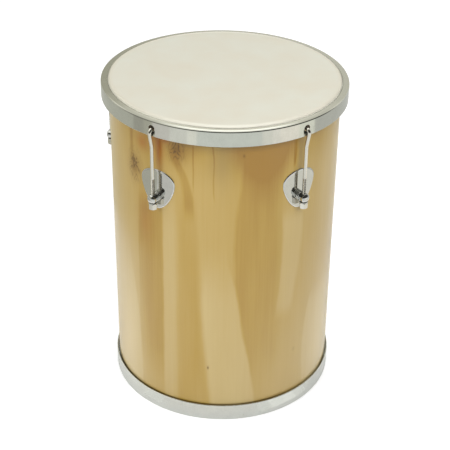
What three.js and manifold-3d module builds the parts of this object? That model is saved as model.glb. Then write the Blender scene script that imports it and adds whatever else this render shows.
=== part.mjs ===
// A twelve-inch rebolo drum: an open wooden shell with one head on top. A steel counterhoop holds the head,
// and five J-hooks pull the counterhoop down to five lugs. Millimetres, +Z up.
// The origin lies on the shell's axis, on the plane that the bottom band stands on.
// -Y is the front, midway between two lugs.

import * as THREE from "three";
import { mergeVertices } from "three/addons/utils/BufferGeometryUtils.js";
import Module from "manifold-3d";

const wasm = await Module();
wasm.setup();

// Clearances and fineness
const seatGap = 0.3; // between pieces that rest on each other
const boreGap = 0.4; // round a shaft in its bore
const overrun = 20; // how far a cutting tool runs past what it cuts
const ringFacets = 72; // round the drum
const turnedFacets = 16; // round a lug post
const boreFacets = 16; // round a bore or a shank
const domeSteps = 3; // along a domed end
const rodFacets = 10; // round a hook's rod

// Shell
const shellRadius = 152.4; // outside, twelve inches across
const shellWall = 6;
const shellHeight = 450;
const bearingRound = 2.6; // the rounded outer edge that the head bends over
const shellChamfer = 1;

// Bottom band, a channel that hugs the shell's lower edge
const bandThickness = 1.5;
const bandHeight = 24.4;
const bandStandOff = 2.1; // the open slit between the band's wall and the shell
const bandLipHeight = 8; // the inner lip that centres the band in the shell
const bandRound = 1.2;

// Head: a film that bends over the shell's edge, and the flesh hoop it is gripped in
const filmThickness = 0.5;
const filmCollar = 7.9; // how far the film runs down the outside of the shell
const fleshWidth = 6.5;
const fleshHeight = 4.6;
const fleshRound = 1.2;

// Counterhoop: a flat band with a flange turned in over the flesh hoop
const hoopHeight = 21;
const hoopThickness = 1.8;
const hoopClearance = 0.8; // between the flesh hoop and the counterhoop's wall
const flangeThickness = 1.5;
const flangeGap = 0.8; // between the flange's inner edge and the film
const hoopRound = 1.4;
const headProud = 2.1; // how far the head stands above the counterhoop
const hookHoleRadius = 4.4;
const hookHoleDrop = 10.6; // from the counterhoop's top to the hole's centre

// Lugs
const lugCount = 5;
const postDrop = 108.5; // from the counterhoop's top to the lug post's axis
const rodStandOff = 10; // from the shell to the hook rod's axis

// Lug plate: pick-shaped and bent to the shell
const plateThickness = 1.2;
const plateHalfWidth = 25.6;
const plateTop = 37.5; // above the post's axis
const plateShoulder = 20.2; // height of the widest place above the post's axis
const plateTip = 17.9; // below the post's axis
const crownShare = 0.5; // how far the plate's top and tip run level, as a share of its half width
const upperShare = 0.62; // how far the upper flank stands upright, as a share of its height
const lowerShare = 0.35; // the same for the lower flank

// Lug post: one turned piece with a threaded shank through the shell
const postRadius = 6.25;
const postEnd = 16.4; // from the shell to the post's domed end
const postDome = 2.8; // the rise of the domed end
const postGrooves = 3;
const grooveDepth = 0.45;
const grooveWidth = 0.8;
const grooveStep = 1.5;
const grooveStart = 0.7; // from the post's shoulder
const shankRadius = 4;
const shankProud = 2.4; // past the inner nut
const shankChamfer = 0.6;
const seatDepth = 0.9; // the flat cut in the underside for the washer

// Fasteners inside the shell
const postNutAcross = 13;
const postNutHeight = 6.5;
const postWasherRadius = 8;
const postWasherThickness = 1.5;
const washerSag = 0.55; // what a flat washer loses against the shell's hollow inside

// Hook: a rod with a joggle and a leg that passes through the counterhoop
const rodRadius = 2.5;
const legDrop = 11.7; // from the counterhoop's top to the leg's axis
const legTip = 3.8; // from the shell to the leg's end
const bendRadius = 4.7;
const joggleRadius = 12;
const joggleAngle = Math.PI / 15;
const rodClearance = 1.3; // between the leaning rod and the counterhoop
const rodEndDrop = 16.2; // from the post's axis to the rod's lower end

// Tension nut and its washer
const nutAcross = 10;
const nutHeight = 7.5;
const washerRadius = 5.7;
const washerThickness = 1;

// Heights and radii that follow from the sizes above
const shellBottom = bandThickness + seatGap;
const shellTop = shellBottom + shellHeight;
const filmBottom = shellTop + seatGap;
const headTop = filmBottom + filmThickness;
const hoopTop = headTop - headProud;
const hoopBottom = hoopTop - hoopHeight;
const filmInner = shellRadius + seatGap;
const filmOuter = filmInner + filmThickness;
const fleshTop = hoopTop - flangeThickness - seatGap;
const fleshInner = filmOuter + seatGap;
const hoopInner = fleshInner + fleshWidth + hoopClearance;
const hoopRadius = hoopInner + hoopThickness;
const postHeight = hoopTop - postDrop;
const rodPlace = shellRadius + rodStandOff;
const joggleOut = hoopRadius + rodClearance + rodRadius - rodPlace;
const plateInner = shellRadius + seatGap;
const plateOuter = plateInner + plateThickness;
const postShoulder = plateOuter + seatGap;
const postTip = shellRadius + postEnd;
const washerFace = shellRadius - shellWall - washerSag;
const nutFace = washerFace - postWasherThickness - seatGap;
const shankEnd = nutFace - postNutHeight - shankProud;
const seatHeight = postHeight - postRadius + seatDepth;
const washerTop = seatHeight - seatGap;
const nutTop = washerTop - washerThickness - seatGap;

// Materials
const finish = (color, roughness, metalness) =>
  new THREE.MeshStandardMaterial({ color, roughness, metalness });
const varnishedWood = () => finish("#c4a26a", 0.35, 0);
const milkyFilm = () => finish("#e2dcc8", 0.5, 0);
const platedSteel = () => finish("#c9cbc8", 0.18, 1);
const bandSteel = () => finish("#c6c8c6", 0.3, 1);
const dullAluminium = () => finish("#a9aaa8", 0.45, 1);
const zincSteel = () => finish("#9a9b98", 0.4, 1);

// Solids: a closed geometry with its shared vertices merged, facing out
function solid(geometry) {
  const bare = geometry.index ? geometry.toNonIndexed() : geometry.clone();
  bare.deleteAttribute("normal");
  bare.deleteAttribute("uv");
  const merged = mergeVertices(bare, 1e-4);
  const corners = new Uint32Array(merged.index.array);
  const build = (triVerts) =>
    new wasm.Manifold(
      new wasm.Mesh({
        numProp: 3,
        vertProperties: merged.attributes.position.array,
        triVerts,
      }),
    );
  const made = build(corners);
  if (made.volume() > 0) return made;
  for (let i = 0; i < corners.length; i += 3)
    [corners[i + 1], corners[i + 2]] = [corners[i + 2], corners[i + 1]];
  return build(corners);
}

// The three.js geometry of a solid
function shapeOf(body) {
  const mesh = body.getMesh();
  const places = new Float32Array(mesh.numVert * 3);
  for (let i = 0; i < mesh.numVert; i++)
    places.set(mesh.vertProperties.subarray(i * mesh.numProp, i * mesh.numProp + 3), i * 3);
  return new THREE.BufferGeometry()
    .setAttribute("position", new THREE.BufferAttribute(places, 3))
    .setIndex(new THREE.BufferAttribute(new Uint32Array(mesh.triVerts), 1));
}

const point = (x, y) => new THREE.Vector2(x, y);

// Points of an arc about a centre, from one angle to another
function arc(x, y, radius, from, to, steps) {
  const points = [];
  for (let i = 0; i <= steps; i++) {
    const angle = from + ((to - from) * i) / steps;
    points.push(point(x + radius * Math.cos(angle), y + radius * Math.sin(angle)));
  }
  return points;
}

// A profile of radii and heights turned about +Z
function turned(profile, facets = ringFacets) {
  return solid(new THREE.LatheGeometry(profile, facets).rotateX(Math.PI / 2));
}

// A profile of radii and distances turned about the outward direction of a lug, which is -Y
function turnedOutward(profile, facets, height) {
  const shape = new THREE.LatheGeometry(profile, facets);
  return solid(shape.rotateX(Math.PI).translate(0, 0, height));
}

// A round rod between two distances along a lug's outward direction
function outwardRod(radius, from, to, facets, height) {
  const profile = [point(0, from), point(radius, from), point(radius, to), point(0, to)];
  return turnedOutward(profile, facets, height);
}

// A round rod along +Z in front of the shell
function uprightRod(radius, from, to, facets, place) {
  const profile = [point(0, from), point(radius, from), point(radius, to), point(0, to)];
  return solid(new THREE.LatheGeometry(profile, facets).rotateX(Math.PI / 2).translate(0, -place, 0));
}

// An outline of sideways places and heights, extruded outward between two distances
function extrudedOutward(shape, from, to, curveSegments) {
  const slab = new THREE.ExtrudeGeometry(shape, {
    depth: to - from,
    bevelEnabled: false,
    curveSegments,
  });
  return solid(slab.rotateX(Math.PI / 2).translate(0, -from, 0));
}

// A closed polygon of equal sides as a shape, with an optional round hole
function polygonShape(radius, sides, holeRadius = 0) {
  const ring = (size, count) => {
    const points = arc(0, 0, size, 0, 2 * Math.PI, count);
    return points.slice(0, count);
  };
  const shape = new THREE.Shape(ring(radius, sides));
  if (holeRadius > 0) shape.holes.push(new THREE.Path(ring(holeRadius, boreFacets)));
  return shape;
}

// A hexagon nut on +Z from height zero, its corners eased by a turned cone at both ends
function hexNut(across, height, boreRadius) {
  const corner = across / Math.sqrt(3);
  const ease = corner - across / 2;
  const block = new THREE.ExtrudeGeometry(polygonShape(corner, 6, boreRadius), {
    depth: height,
    bevelEnabled: false,
  });
  const envelope = [
    point(0, 0),
    point(corner - ease, 0),
    point(corner, ease),
    point(corner, height - ease),
    point(corner - ease, height),
    point(0, height),
  ];
  return solid(block).intersect(turned(envelope, 24));
}

// A flat washer on +Z from height zero
function washer(radius, thickness, boreRadius) {
  const profile = [
    point(boreRadius, 0),
    point(radius, 0),
    point(radius, thickness),
    point(boreRadius, thickness),
    point(boreRadius, 0),
  ];
  return turned(profile, turnedFacets);
}

// The shell, open at both ends, with a hole for each lug post
function shell() {
  const inner = shellRadius - shellWall;
  const profile = [
    point(inner, shellBottom),
    point(shellRadius, shellBottom),
    ...arc(shellRadius - bearingRound, shellTop - bearingRound, bearingRound, 0, Math.PI / 2, 3),
    point(inner + shellChamfer, shellTop),
    point(inner, shellTop - shellChamfer),
    point(inner, shellBottom),
  ];
  let body = turned(profile);
  for (let i = 0; i < lugCount; i++) {
    const bore = outwardRod(
      shankRadius + boreGap,
      inner - overrun,
      shellRadius + overrun,
      boreFacets,
      postHeight,
    );
    body = body.subtract(bore.rotate([0, 0, lugDegrees(i)]));
  }
  return body;
}

// The bottom band: outer wall, floor under the shell's edge and a lip inside the shell
function bottomBand() {
  const wallInner = shellRadius + bandStandOff;
  const wallOuter = wallInner + bandThickness;
  const lipOuter = shellRadius - shellWall - seatGap;
  const lipInner = lipOuter - bandThickness;
  return turned([
    point(lipInner, bandLipHeight),
    ...arc(lipInner + bandRound, bandRound, bandRound, Math.PI, 1.5 * Math.PI, 1),
    ...arc(wallOuter - bandRound, bandRound, bandRound, 1.5 * Math.PI, 2 * Math.PI, 2),
    point(wallOuter, bandHeight),
    point(wallInner, bandHeight),
    point(wallInner, bandThickness),
    point(lipOuter, bandThickness),
    point(lipOuter, bandLipHeight),
    point(lipInner, bandLipHeight),
  ]);
}

// The head's film: flat across the shell, bent over its edge, with a collar down the outside
function drumHead() {
  const bend = bearingRound;
  const collarEnd = headTop - filmCollar;
  const bendCentre = filmInner - bend;
  const bendHeight = filmBottom - bend;
  return turned([
    point(0, headTop),
    ...arc(bendCentre, bendHeight, bend + filmThickness, Math.PI / 2, 0, 4),
    point(filmOuter, collarEnd),
    point(filmInner, collarEnd),
    ...arc(bendCentre, bendHeight, bend, 0, Math.PI / 2, 3),
    point(0, filmBottom),
  ]);
}

// The flesh hoop: a ring with eased corners, under the counterhoop's flange
function fleshHoop() {
  const inner = fleshInner + fleshRound;
  const outer = fleshInner + fleshWidth - fleshRound;
  const low = fleshTop - fleshHeight + fleshRound;
  const high = fleshTop - fleshRound;
  return turned([
    ...arc(outer, low, fleshRound, -Math.PI / 2, 0, 1),
    ...arc(outer, high, fleshRound, 0, Math.PI / 2, 1),
    ...arc(inner, high, fleshRound, Math.PI / 2, Math.PI, 1),
    ...arc(inner, low, fleshRound, Math.PI, 1.5 * Math.PI, 1),
    point(outer, low - fleshRound),
  ]);
}

// The counterhoop: its wall, the flange turned in at the top and a hole for each hook
function counterhoop() {
  const flangeInner = filmOuter + flangeGap;
  const flangeBottom = hoopTop - flangeThickness;
  const corner = hoopRadius - hoopRound;
  let body = turned([
    point(hoopInner, hoopBottom),
    point(hoopRadius, hoopBottom),
    ...arc(corner, hoopTop - hoopRound, hoopRound, 0, Math.PI / 2, 3),
    point(flangeInner, hoopTop),
    point(flangeInner, flangeBottom),
    point(hoopInner, flangeBottom),
    point(hoopInner, hoopBottom),
  ]);
  for (let i = 0; i < lugCount; i++) {
    const hole = outwardRod(
      hookHoleRadius,
      hoopInner - overrun,
      hoopRadius + overrun,
      boreFacets,
      hoopTop - hookHoleDrop,
    );
    body = body.subtract(hole.rotate([0, 0, lugDegrees(i)]));
  }
  return body;
}

// The pick-shaped outline of a lug plate, about the post's axis
function plateOutline() {
  const level = crownShare * plateHalfWidth;
  const upper = plateShoulder + upperShare * (plateTop - plateShoulder);
  const lower = plateShoulder - lowerShare * (plateShoulder + plateTip);
  const shape = new THREE.Shape();
  shape.moveTo(0, plateTop);
  shape.bezierCurveTo(level, plateTop, plateHalfWidth, upper, plateHalfWidth, plateShoulder);
  shape.bezierCurveTo(plateHalfWidth, lower, level, -plateTip, 0, -plateTip);
  shape.bezierCurveTo(-level, -plateTip, -plateHalfWidth, lower, -plateHalfWidth, plateShoulder);
  shape.bezierCurveTo(-plateHalfWidth, upper, -level, plateTop, 0, plateTop);
  return shape;
}

// The lug plate: a sheet bent to the shell, with a bore for the post's shank
function lugPlate() {
  const sheetRing = turned([
    point(plateInner, -plateTip - overrun),
    point(plateOuter, -plateTip - overrun),
    point(plateOuter, plateTop + overrun),
    point(plateInner, plateTop + overrun),
    point(plateInner, -plateTip - overrun),
  ]);
  const outline = extrudedOutward(plateOutline(), plateInner - overrun, plateOuter + overrun, 9);
  const bore = outwardRod(
    shankRadius + boreGap,
    plateInner - overrun,
    plateOuter + overrun,
    boreFacets,
    0,
  );
  return sheetRing.intersect(outline).subtract(bore);
}

// The lug post: threaded shank, shoulder, grooved barrel and domed end, cross-drilled for the hook's rod
function lugPost() {
  const barrelEnd = postTip - postDome;
  const sphere = (postRadius ** 2 + postDome ** 2) / (2 * postDome);
  const half = Math.asin(postRadius / sphere);
  const grooves = [];
  for (let i = 0; i < postGrooves; i++) {
    const place = postShoulder + grooveStart + i * grooveStep;
    grooves.push(
      point(postRadius, place),
      point(postRadius - grooveDepth, place + grooveWidth / 2),
      point(postRadius, place + grooveWidth),
    );
  }
  const dome = [];
  for (let i = 0; i <= domeSteps; i++) {
    const angle = half * (1 - i / domeSteps);
    dome.push(point(sphere * Math.sin(angle), barrelEnd + sphere * (Math.cos(angle) - Math.cos(half))));
  }
  const barrel = turnedOutward(
    [
      point(0, shankEnd),
      point(shankRadius - shankChamfer, shankEnd),
      point(shankRadius, shankEnd + shankChamfer),
      point(shankRadius, postShoulder),
      point(postRadius, postShoulder),
      ...grooves,
      ...dome,
    ],
    turnedFacets,
    0,
  );
  const drill = uprightRod(rodRadius + boreGap, -overrun, overrun, boreFacets, rodPlace);
  const seatCutter = uprightRod(
    washerRadius + boreGap,
    -overrun,
    seatDepth - postRadius,
    turnedFacets,
    rodPlace,
  );
  return barrel.subtract(drill).subtract(seatCutter);
}

// A rod's path through given places, each with its own direction
class RodPath extends THREE.Curve {
  constructor(stations) {
    super();
    this.stations = stations;
  }
  station(share) {
    return this.stations[Math.round(share * (this.stations.length - 1))];
  }
  getPointAt(share, target = new THREE.Vector3()) {
    return target.copy(this.station(share).place);
  }
  getPoint(share, target = new THREE.Vector3()) {
    return this.getPointAt(share, target);
  }
  getTangentAt(share, target = new THREE.Vector3()) {
    return target.copy(this.station(share).direction);
  }
}

// The stations of a hook, from the rod's lower end up to the leg's tip. The heading is measured from +Z,
// positive outward.
function hookStations() {
  const stations = [];
  let out = rodPlace;
  let height = postHeight - rodEndDrop;
  let heading = 0;
  const mark = () =>
    stations.push({
      place: new THREE.Vector3(0, -out, height),
      direction: new THREE.Vector3(0, -Math.sin(heading), Math.cos(heading)),
    });
  const forward = (length) => {
    out += length * Math.sin(heading);
    height += length * Math.cos(heading);
    mark();
  };
  const turn = (radius, angle, steps) => {
    const side = Math.sign(angle);
    for (let i = 0; i < steps; i++) {
      const next = heading + angle / steps;
      out += side * radius * (Math.cos(heading) - Math.cos(next));
      height += side * radius * (Math.sin(next) - Math.sin(heading));
      heading = next;
      mark();
    }
  };
  const bow = 1 - Math.cos(joggleAngle);
  const lean = (joggleOut - (joggleRadius + bendRadius) * bow) / Math.sin(joggleAngle);
  const climb =
    (joggleRadius + bendRadius) * Math.sin(joggleAngle) + lean * Math.cos(joggleAngle) + bendRadius;
  mark();
  forward(hoopTop - legDrop - climb - height);
  turn(joggleRadius, joggleAngle, 3);
  forward(lean);
  turn(bendRadius, -joggleAngle - Math.PI / 2, 8);
  forward(out - shellRadius - legTip);
  return stations;
}

// A tension hook
function tensionHook() {
  const stations = hookStations();
  const tube = new THREE.ExtrudeGeometry(polygonShape(rodRadius, rodFacets), {
    steps: stations.length - 1,
    extrudePath: new RodPath(stations),
    bevelEnabled: false,
  });
  return solid(tube);
}

// The angle of a lug about +Z, from the front, in degrees
function lugDegrees(index) {
  const step = 360 / lugCount;
  return step * (index - 0.5);
}

// Assembly
const drum = new THREE.Group();

function place(parent, name, body, material, position = [0, 0, 0], rotation = [0, 0, 0]) {
  const mesh = new THREE.Mesh(shapeOf(body), material);
  mesh.name = name;
  mesh.position.set(...position);
  mesh.rotation.set(...rotation);
  parent.add(mesh);
}

place(drum, "shell", shell(), varnishedWood());
place(drum, "bottom_band", bottomBand(), bandSteel());
place(drum, "drum_head", drumHead(), milkyFilm());
place(drum, "flesh_hoop", fleshHoop(), dullAluminium());
place(drum, "counterhoop", counterhoop(), platedSteel());

const plateBody = lugPlate();
const postBody = lugPost();
const hookBody = tensionHook();
const tensionWasherBody = washer(washerRadius, washerThickness, rodRadius + boreGap);
const tensionNutBody = hexNut(nutAcross, nutHeight, rodRadius + boreGap);
const postWasherBody = washer(postWasherRadius, postWasherThickness, shankRadius + boreGap);
const postNutBody = hexNut(postNutAcross, postNutHeight, shankRadius + boreGap);

for (let i = 0; i < lugCount; i++) {
  const lug = new THREE.Group();
  const number = i + 1;
  const facingOut = [Math.PI / 2, 0, 0];
  lug.rotation.z = THREE.MathUtils.degToRad(lugDegrees(i));
  place(lug, `lug_plate_${number}`, plateBody, platedSteel(), [0, 0, postHeight]);
  place(lug, `lug_post_${number}`, postBody, platedSteel(), [0, 0, postHeight]);
  const washerPlace = [0, -washerFace + postWasherThickness, postHeight];
  place(lug, `post_washer_${number}`, postWasherBody, zincSteel(), washerPlace, facingOut);
  const postNutPlace = [0, -nutFace + postNutHeight, postHeight];
  place(lug, `post_nut_${number}`, postNutBody, zincSteel(), postNutPlace, facingOut);
  place(lug, `tension_hook_${number}`, hookBody, platedSteel());
  const tensionWasherPlace = [0, -rodPlace, washerTop - washerThickness];
  place(lug, `tension_washer_${number}`, tensionWasherBody, platedSteel(), tensionWasherPlace);
  const tensionNutPlace = [0, -rodPlace, nutTop - nutHeight];
  place(lug, `tension_nut_${number}`, tensionNutBody, platedSteel(), tensionNutPlace);
  drum.add(lug);
}

export default drum;
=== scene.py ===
# %% [markdown]
# # A rebolo drum
# A tall drum with one head, played by hand. Its wooden shell stands on a steel band, and five hooks pull a
# steel hoop down over the head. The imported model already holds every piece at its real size. This lesson
# gives each of them a fine surface and a finish, one piece at a time.

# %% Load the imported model
import math
from collections import namedtuple

import bpy
import numpy as np
from mathutils import Matrix, Vector


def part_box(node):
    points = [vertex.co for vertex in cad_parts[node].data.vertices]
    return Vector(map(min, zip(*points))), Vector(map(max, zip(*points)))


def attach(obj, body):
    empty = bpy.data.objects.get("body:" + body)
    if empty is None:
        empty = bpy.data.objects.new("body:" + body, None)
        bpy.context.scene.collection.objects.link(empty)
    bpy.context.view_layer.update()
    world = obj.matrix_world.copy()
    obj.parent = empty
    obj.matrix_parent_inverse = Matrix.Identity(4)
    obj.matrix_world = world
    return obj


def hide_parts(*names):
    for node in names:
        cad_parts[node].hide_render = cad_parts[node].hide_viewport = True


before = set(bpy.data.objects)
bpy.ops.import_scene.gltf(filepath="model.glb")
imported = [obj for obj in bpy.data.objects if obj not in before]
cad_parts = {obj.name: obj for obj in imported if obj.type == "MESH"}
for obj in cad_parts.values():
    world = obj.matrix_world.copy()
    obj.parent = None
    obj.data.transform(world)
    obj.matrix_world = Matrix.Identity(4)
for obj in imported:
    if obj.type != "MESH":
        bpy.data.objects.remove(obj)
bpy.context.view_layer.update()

# %% [markdown]
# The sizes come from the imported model's own boxes. The lug at the back faces straight along +Y, so the
# boxes of its pieces give each piece's reach outward, sideways and up with no trigonometry.

# %% Sizes of the large pieces, in metres
MM = 0.001
BACK_LUG = 4
LUG_COUNT = 5
shell_low, shell_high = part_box("shell")
band_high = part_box("bottom_band")[1]
head_low, head_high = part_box("drum_head")
flesh_low, flesh_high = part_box("flesh_hoop")
hoop_low, hoop_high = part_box("counterhoop")
shell_radius = shell_high.x
film_radius = head_high.x
hoop_radius = hoop_high.x
print("shell", round(shell_radius, 5), "hoop", round(hoop_radius, 5), "top", round(head_high.z, 5))

# %% Sizes of a lug's pieces, in metres
Reach = namedtuple("Reach", "half inner outer low high")


def lug_reach(kind):
    """The box of a back lug's piece as half width, inner and outer reach, low and high."""
    low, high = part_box(f"{kind}_{BACK_LUG}")
    return Reach((high.x - low.x) / 2, low.y, high.y, low.z, high.z)


plate = lug_reach("lug_plate")
post = lug_reach("lug_post")
hook = lug_reach("tension_hook")
washer = lug_reach("tension_washer")
nut = lug_reach("tension_nut")
inner_washer = lug_reach("post_washer")
inner_nut = lug_reach("post_nut")
post_radius = (post.high - post.low) / 2
post_height = (post.high + post.low) / 2
rod_place = (washer.inner + washer.outer) / 2
print("post height", round(post_height, 5), "rod place", round(rod_place, 5))

# %% [markdown]
# ## The camera
# The picture was taken from a little above the head. A camera fitted to the ellipses of the hoop, the head
# and the band gives its place, its turn and its lens. A little shift keeps the drum where the picture has
# it.

# %% Camera
CAMERA_AWAY = 1.467349
CAMERA_HEIGHT = 1.100742
CAMERA_SWING = math.radians(-2.45)
CAMERA_PITCH = math.radians(31.748)
CAMERA_YAW = math.radians(3.432)
CAMERA_ROLL = math.radians(2.5)
CAMERA_LENS = 96.89
CAMERA_SHIFT = (-0.1344, 0.045)


def camera_axes(pitch, yaw, roll, swing):
    """Right, up and back of a camera that looks along +Y, dips by pitch, turns by yaw and rolls."""
    forward = Vector((math.sin(yaw) * math.cos(pitch), math.cos(yaw) * math.cos(pitch), -math.sin(pitch)))
    right = Vector((math.cos(yaw), -math.sin(yaw), 0))
    up = right.cross(forward)
    rolled_right = math.cos(roll) * right + math.sin(roll) * up
    rolled_up = -math.sin(roll) * right + math.cos(roll) * up
    turn = Matrix.Rotation(swing, 3, "Z")
    return turn @ rolled_right, turn @ rolled_up, turn @ -forward


camera_data = bpy.data.cameras.new("camera")
camera_data.lens = CAMERA_LENS
camera_data.shift_x, camera_data.shift_y = CAMERA_SHIFT
camera = bpy.data.objects.new("camera", camera_data)
right, up, back = camera_axes(CAMERA_PITCH, CAMERA_YAW, CAMERA_ROLL, CAMERA_SWING)
camera.matrix_world = Matrix((right, up, back)).transposed().to_4x4()
camera.location = Matrix.Rotation(CAMERA_SWING, 3, "Z") @ Vector((0, -CAMERA_AWAY, CAMERA_HEIGHT))
bpy.context.scene.collection.objects.link(camera)
bpy.context.scene.camera = camera
print("camera at", tuple(round(c, 4) for c in camera.location))

# %% [markdown]
# ## Meshes from arrays
# Most pieces here are turned or bent from a profile, so their surface is a grid of points: one row for each
# point of the profile and one column for each step round the axis. Faces join neighbouring grid points.
# Written this way a fine surface costs a few lines, and its faces always point outwards.

# %% Places at a lug
ROUND = 2 * math.pi
LUGS = range(1, LUG_COUNT + 1)


def lug_angle(number):
    """The angle of a lug about +Z from the front, in radians."""
    return ROUND / LUG_COUNT * (number - 1.5)


def at_lug(points, number):
    """Turns points given as sideways, outward and up at the front of the drum to where a lug is."""
    angle = lug_angle(number)
    side, out, height = points[..., 0], points[..., 1], points[..., 2]
    x = side * math.cos(angle) + out * math.sin(angle)
    y = side * math.sin(angle) - out * math.cos(angle)
    return np.stack([x, y, height], -1)


# %% Surfaces gathered from grids


class Surface:
    """Points and faces gathered from grids. A face runs (i, j), (i, j+1), (i+1, j+1), (i+1, j)."""

    def __init__(self):
        self.points = []
        self.faces = []
        self.count = 0

    def add(self, points):
        """Keeps an array of points and returns their numbers in the same layout."""
        points = np.asarray(points, float)
        numbers = self.count + np.arange(points[..., 0].size).reshape(points.shape[:-1])
        self.points.append(points.reshape(-1, 3))
        self.count += numbers.size
        return numbers

    def sheet(self, numbers, close_rows=False, close_columns=True, keep=None):
        """Joins a grid of numbered points by four-sided faces, leaving out those that keep marks False."""
        if close_rows:
            numbers = np.vstack([numbers, numbers[:1]])
        if close_columns:
            numbers = np.hstack([numbers, numbers[:, :1]])
        corners = (numbers[:-1, :-1], numbers[:-1, 1:], numbers[1:, 1:], numbers[1:, :-1])
        faces = np.stack(corners, -1)
        self.faces.append(faces[keep] if keep is not None else faces.reshape(-1, 4))

    def fan(self, pole, ring, at_end=True):
        """Closes a ring of points with triangles to a pole, past its last row or before its first."""
        after = np.roll(ring, -1)
        poles = np.full_like(ring, pole)
        order = (ring, after, poles) if at_end else (poles, after, ring)
        self.faces.append(np.stack(order, -1))

    def piece(self, name, number=None):
        """Makes the mesh object, smooth all over, at the origin, or first turned to a lug's place."""
        mesh = bpy.data.meshes.new(name)
        points = np.concatenate(self.points)
        if number is not None:
            points = at_lug(points, number)
        lengths = np.concatenate([np.full(len(f), f.shape[1]) for f in self.faces])
        corners = np.concatenate([f.ravel() for f in self.faces])
        mesh.vertices.add(len(points))
        mesh.vertices.foreach_set("co", points.astype(np.float32).ravel())
        mesh.loops.add(len(corners))
        mesh.loops.foreach_set("vertex_index", corners.astype(np.int32))
        mesh.polygons.add(len(lengths))
        starts = np.concatenate([[0], np.cumsum(lengths)[:-1]])
        mesh.polygons.foreach_set("loop_start", starts.astype(np.int32))
        mesh.update(calc_edges=True)
        mesh.polygons.foreach_set("use_smooth", np.ones(len(lengths), bool))
        mesh.validate()
        made = bpy.data.objects.new(name, mesh)
        bpy.context.scene.collection.objects.link(made)
        return made


# %% [markdown]
# A pressed or turned edge is never quite sharp, and on bright metal the small round catches the light. So
# every profile is drawn with corners first, and each corner then becomes a small arc.

# %% Profiles with rounded corners
ARC_STEPS = 5
GUARD = 0.25 * MM


def eased(corners, radii, closed=True, steps=ARC_STEPS):
    """A profile whose corners are arcs.

    At a corner the path turns by an angle. The arc that touches both sides starts before the corner by radius
    times the tangent of half that angle. A guard point outside each end of the arc keeps flat sides flat.
    """
    corners = np.asarray(corners, float)
    count = len(corners)
    points = []
    for i, corner in enumerate(corners):
        radius = radii[i] if np.ndim(radii) else radii
        if radius <= 0 or (not closed and i in (0, count - 1)):
            points.append(corner)
            continue
        before = corner - corners[i - 1]
        after = corners[(i + 1) % count] - corner
        before = before / np.linalg.norm(before)
        after = after / np.linalg.norm(after)
        turn = math.atan2(before[0] * after[1] - before[1] * after[0], before @ after)
        side = math.copysign(1, turn)
        start = corner - before * radius * math.tan(abs(turn) / 2)
        centre = start + side * radius * np.array([-before[1], before[0]])
        angles = turn * np.linspace(0, 1, steps + 1)
        spoke = start - centre
        across = np.array([-spoke[1], spoke[0]])
        arc = centre + np.cos(angles)[:, None] * spoke + np.sin(angles)[:, None] * across
        points.append(start - before * GUARD)
        points.extend(arc)
        points.append(arc[-1] + after * GUARD)
    return np.array(points)


# %% Turned surfaces


def angles_round(steps):
    """Evenly spaced angles round a full turn, from the front of the drum."""
    return ROUND * np.arange(steps) / steps - math.pi / 2


def turned_grid(profile, angles):
    """Radius and height of each profile point, turned about +Z: x = r cos a, y = r sin a, z = h."""
    radius, height = profile[:, :1], profile[:, 1:]
    return np.stack([radius * np.cos(angles), radius * np.sin(angles), height + 0 * angles], -1)


def turned_piece(name, profile, steps):
    """A closed profile turned into a ring."""
    surface = Surface()
    surface.sheet(surface.add(turned_grid(profile, angles_round(steps))), close_rows=True)
    return surface.piece(name)


# %% [markdown]
# ## Holes
# A drilled hole is cut into a grid by leaving out a window of faces on each side of the wall. Rings of
# points then lead from the window's edge to the round edge of the hole, through the wall, and out to the
# other window.

# %% Windows in a grid
EDGE_TURNS = np.linspace(0, math.pi / 2, 4)[1:]
WALL_SHARES = (0.35, 0.7, 0.92, 1)


def window_loop(numbers, rows, columns):
    """The border of a window, in order: along its first row, up its last column, back along its last row."""
    first = numbers[rows[0], columns[:-1]]
    far = numbers[rows[:-1], columns[-1]]
    last = numbers[rows[-1], columns[:0:-1]]
    near = numbers[rows[:0:-1], columns[0]]
    return np.concatenate([first, far, last, near])


def hole_rings(ring, hole, edge, shares, faces):
    """Rings from a window to a hole in one face, round the hole's edge, and out again on the other face.

    ring(share, radius, depth, face) makes one ring. At turn t of the rounded edge the radius is the hole's
    plus edge times (1 - sin t), and the depth is edge times (1 - cos t).
    """
    wide = hole + edge
    steps = [(share, wide, 0) for share in shares]
    steps += [(1, wide - edge * math.sin(t), edge * (1 - math.cos(t))) for t in EDGE_TURNS]
    return [ring(*step, faces[0]) for step in steps] + [ring(*step, faces[1]) for step in steps[::-1]]


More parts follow.
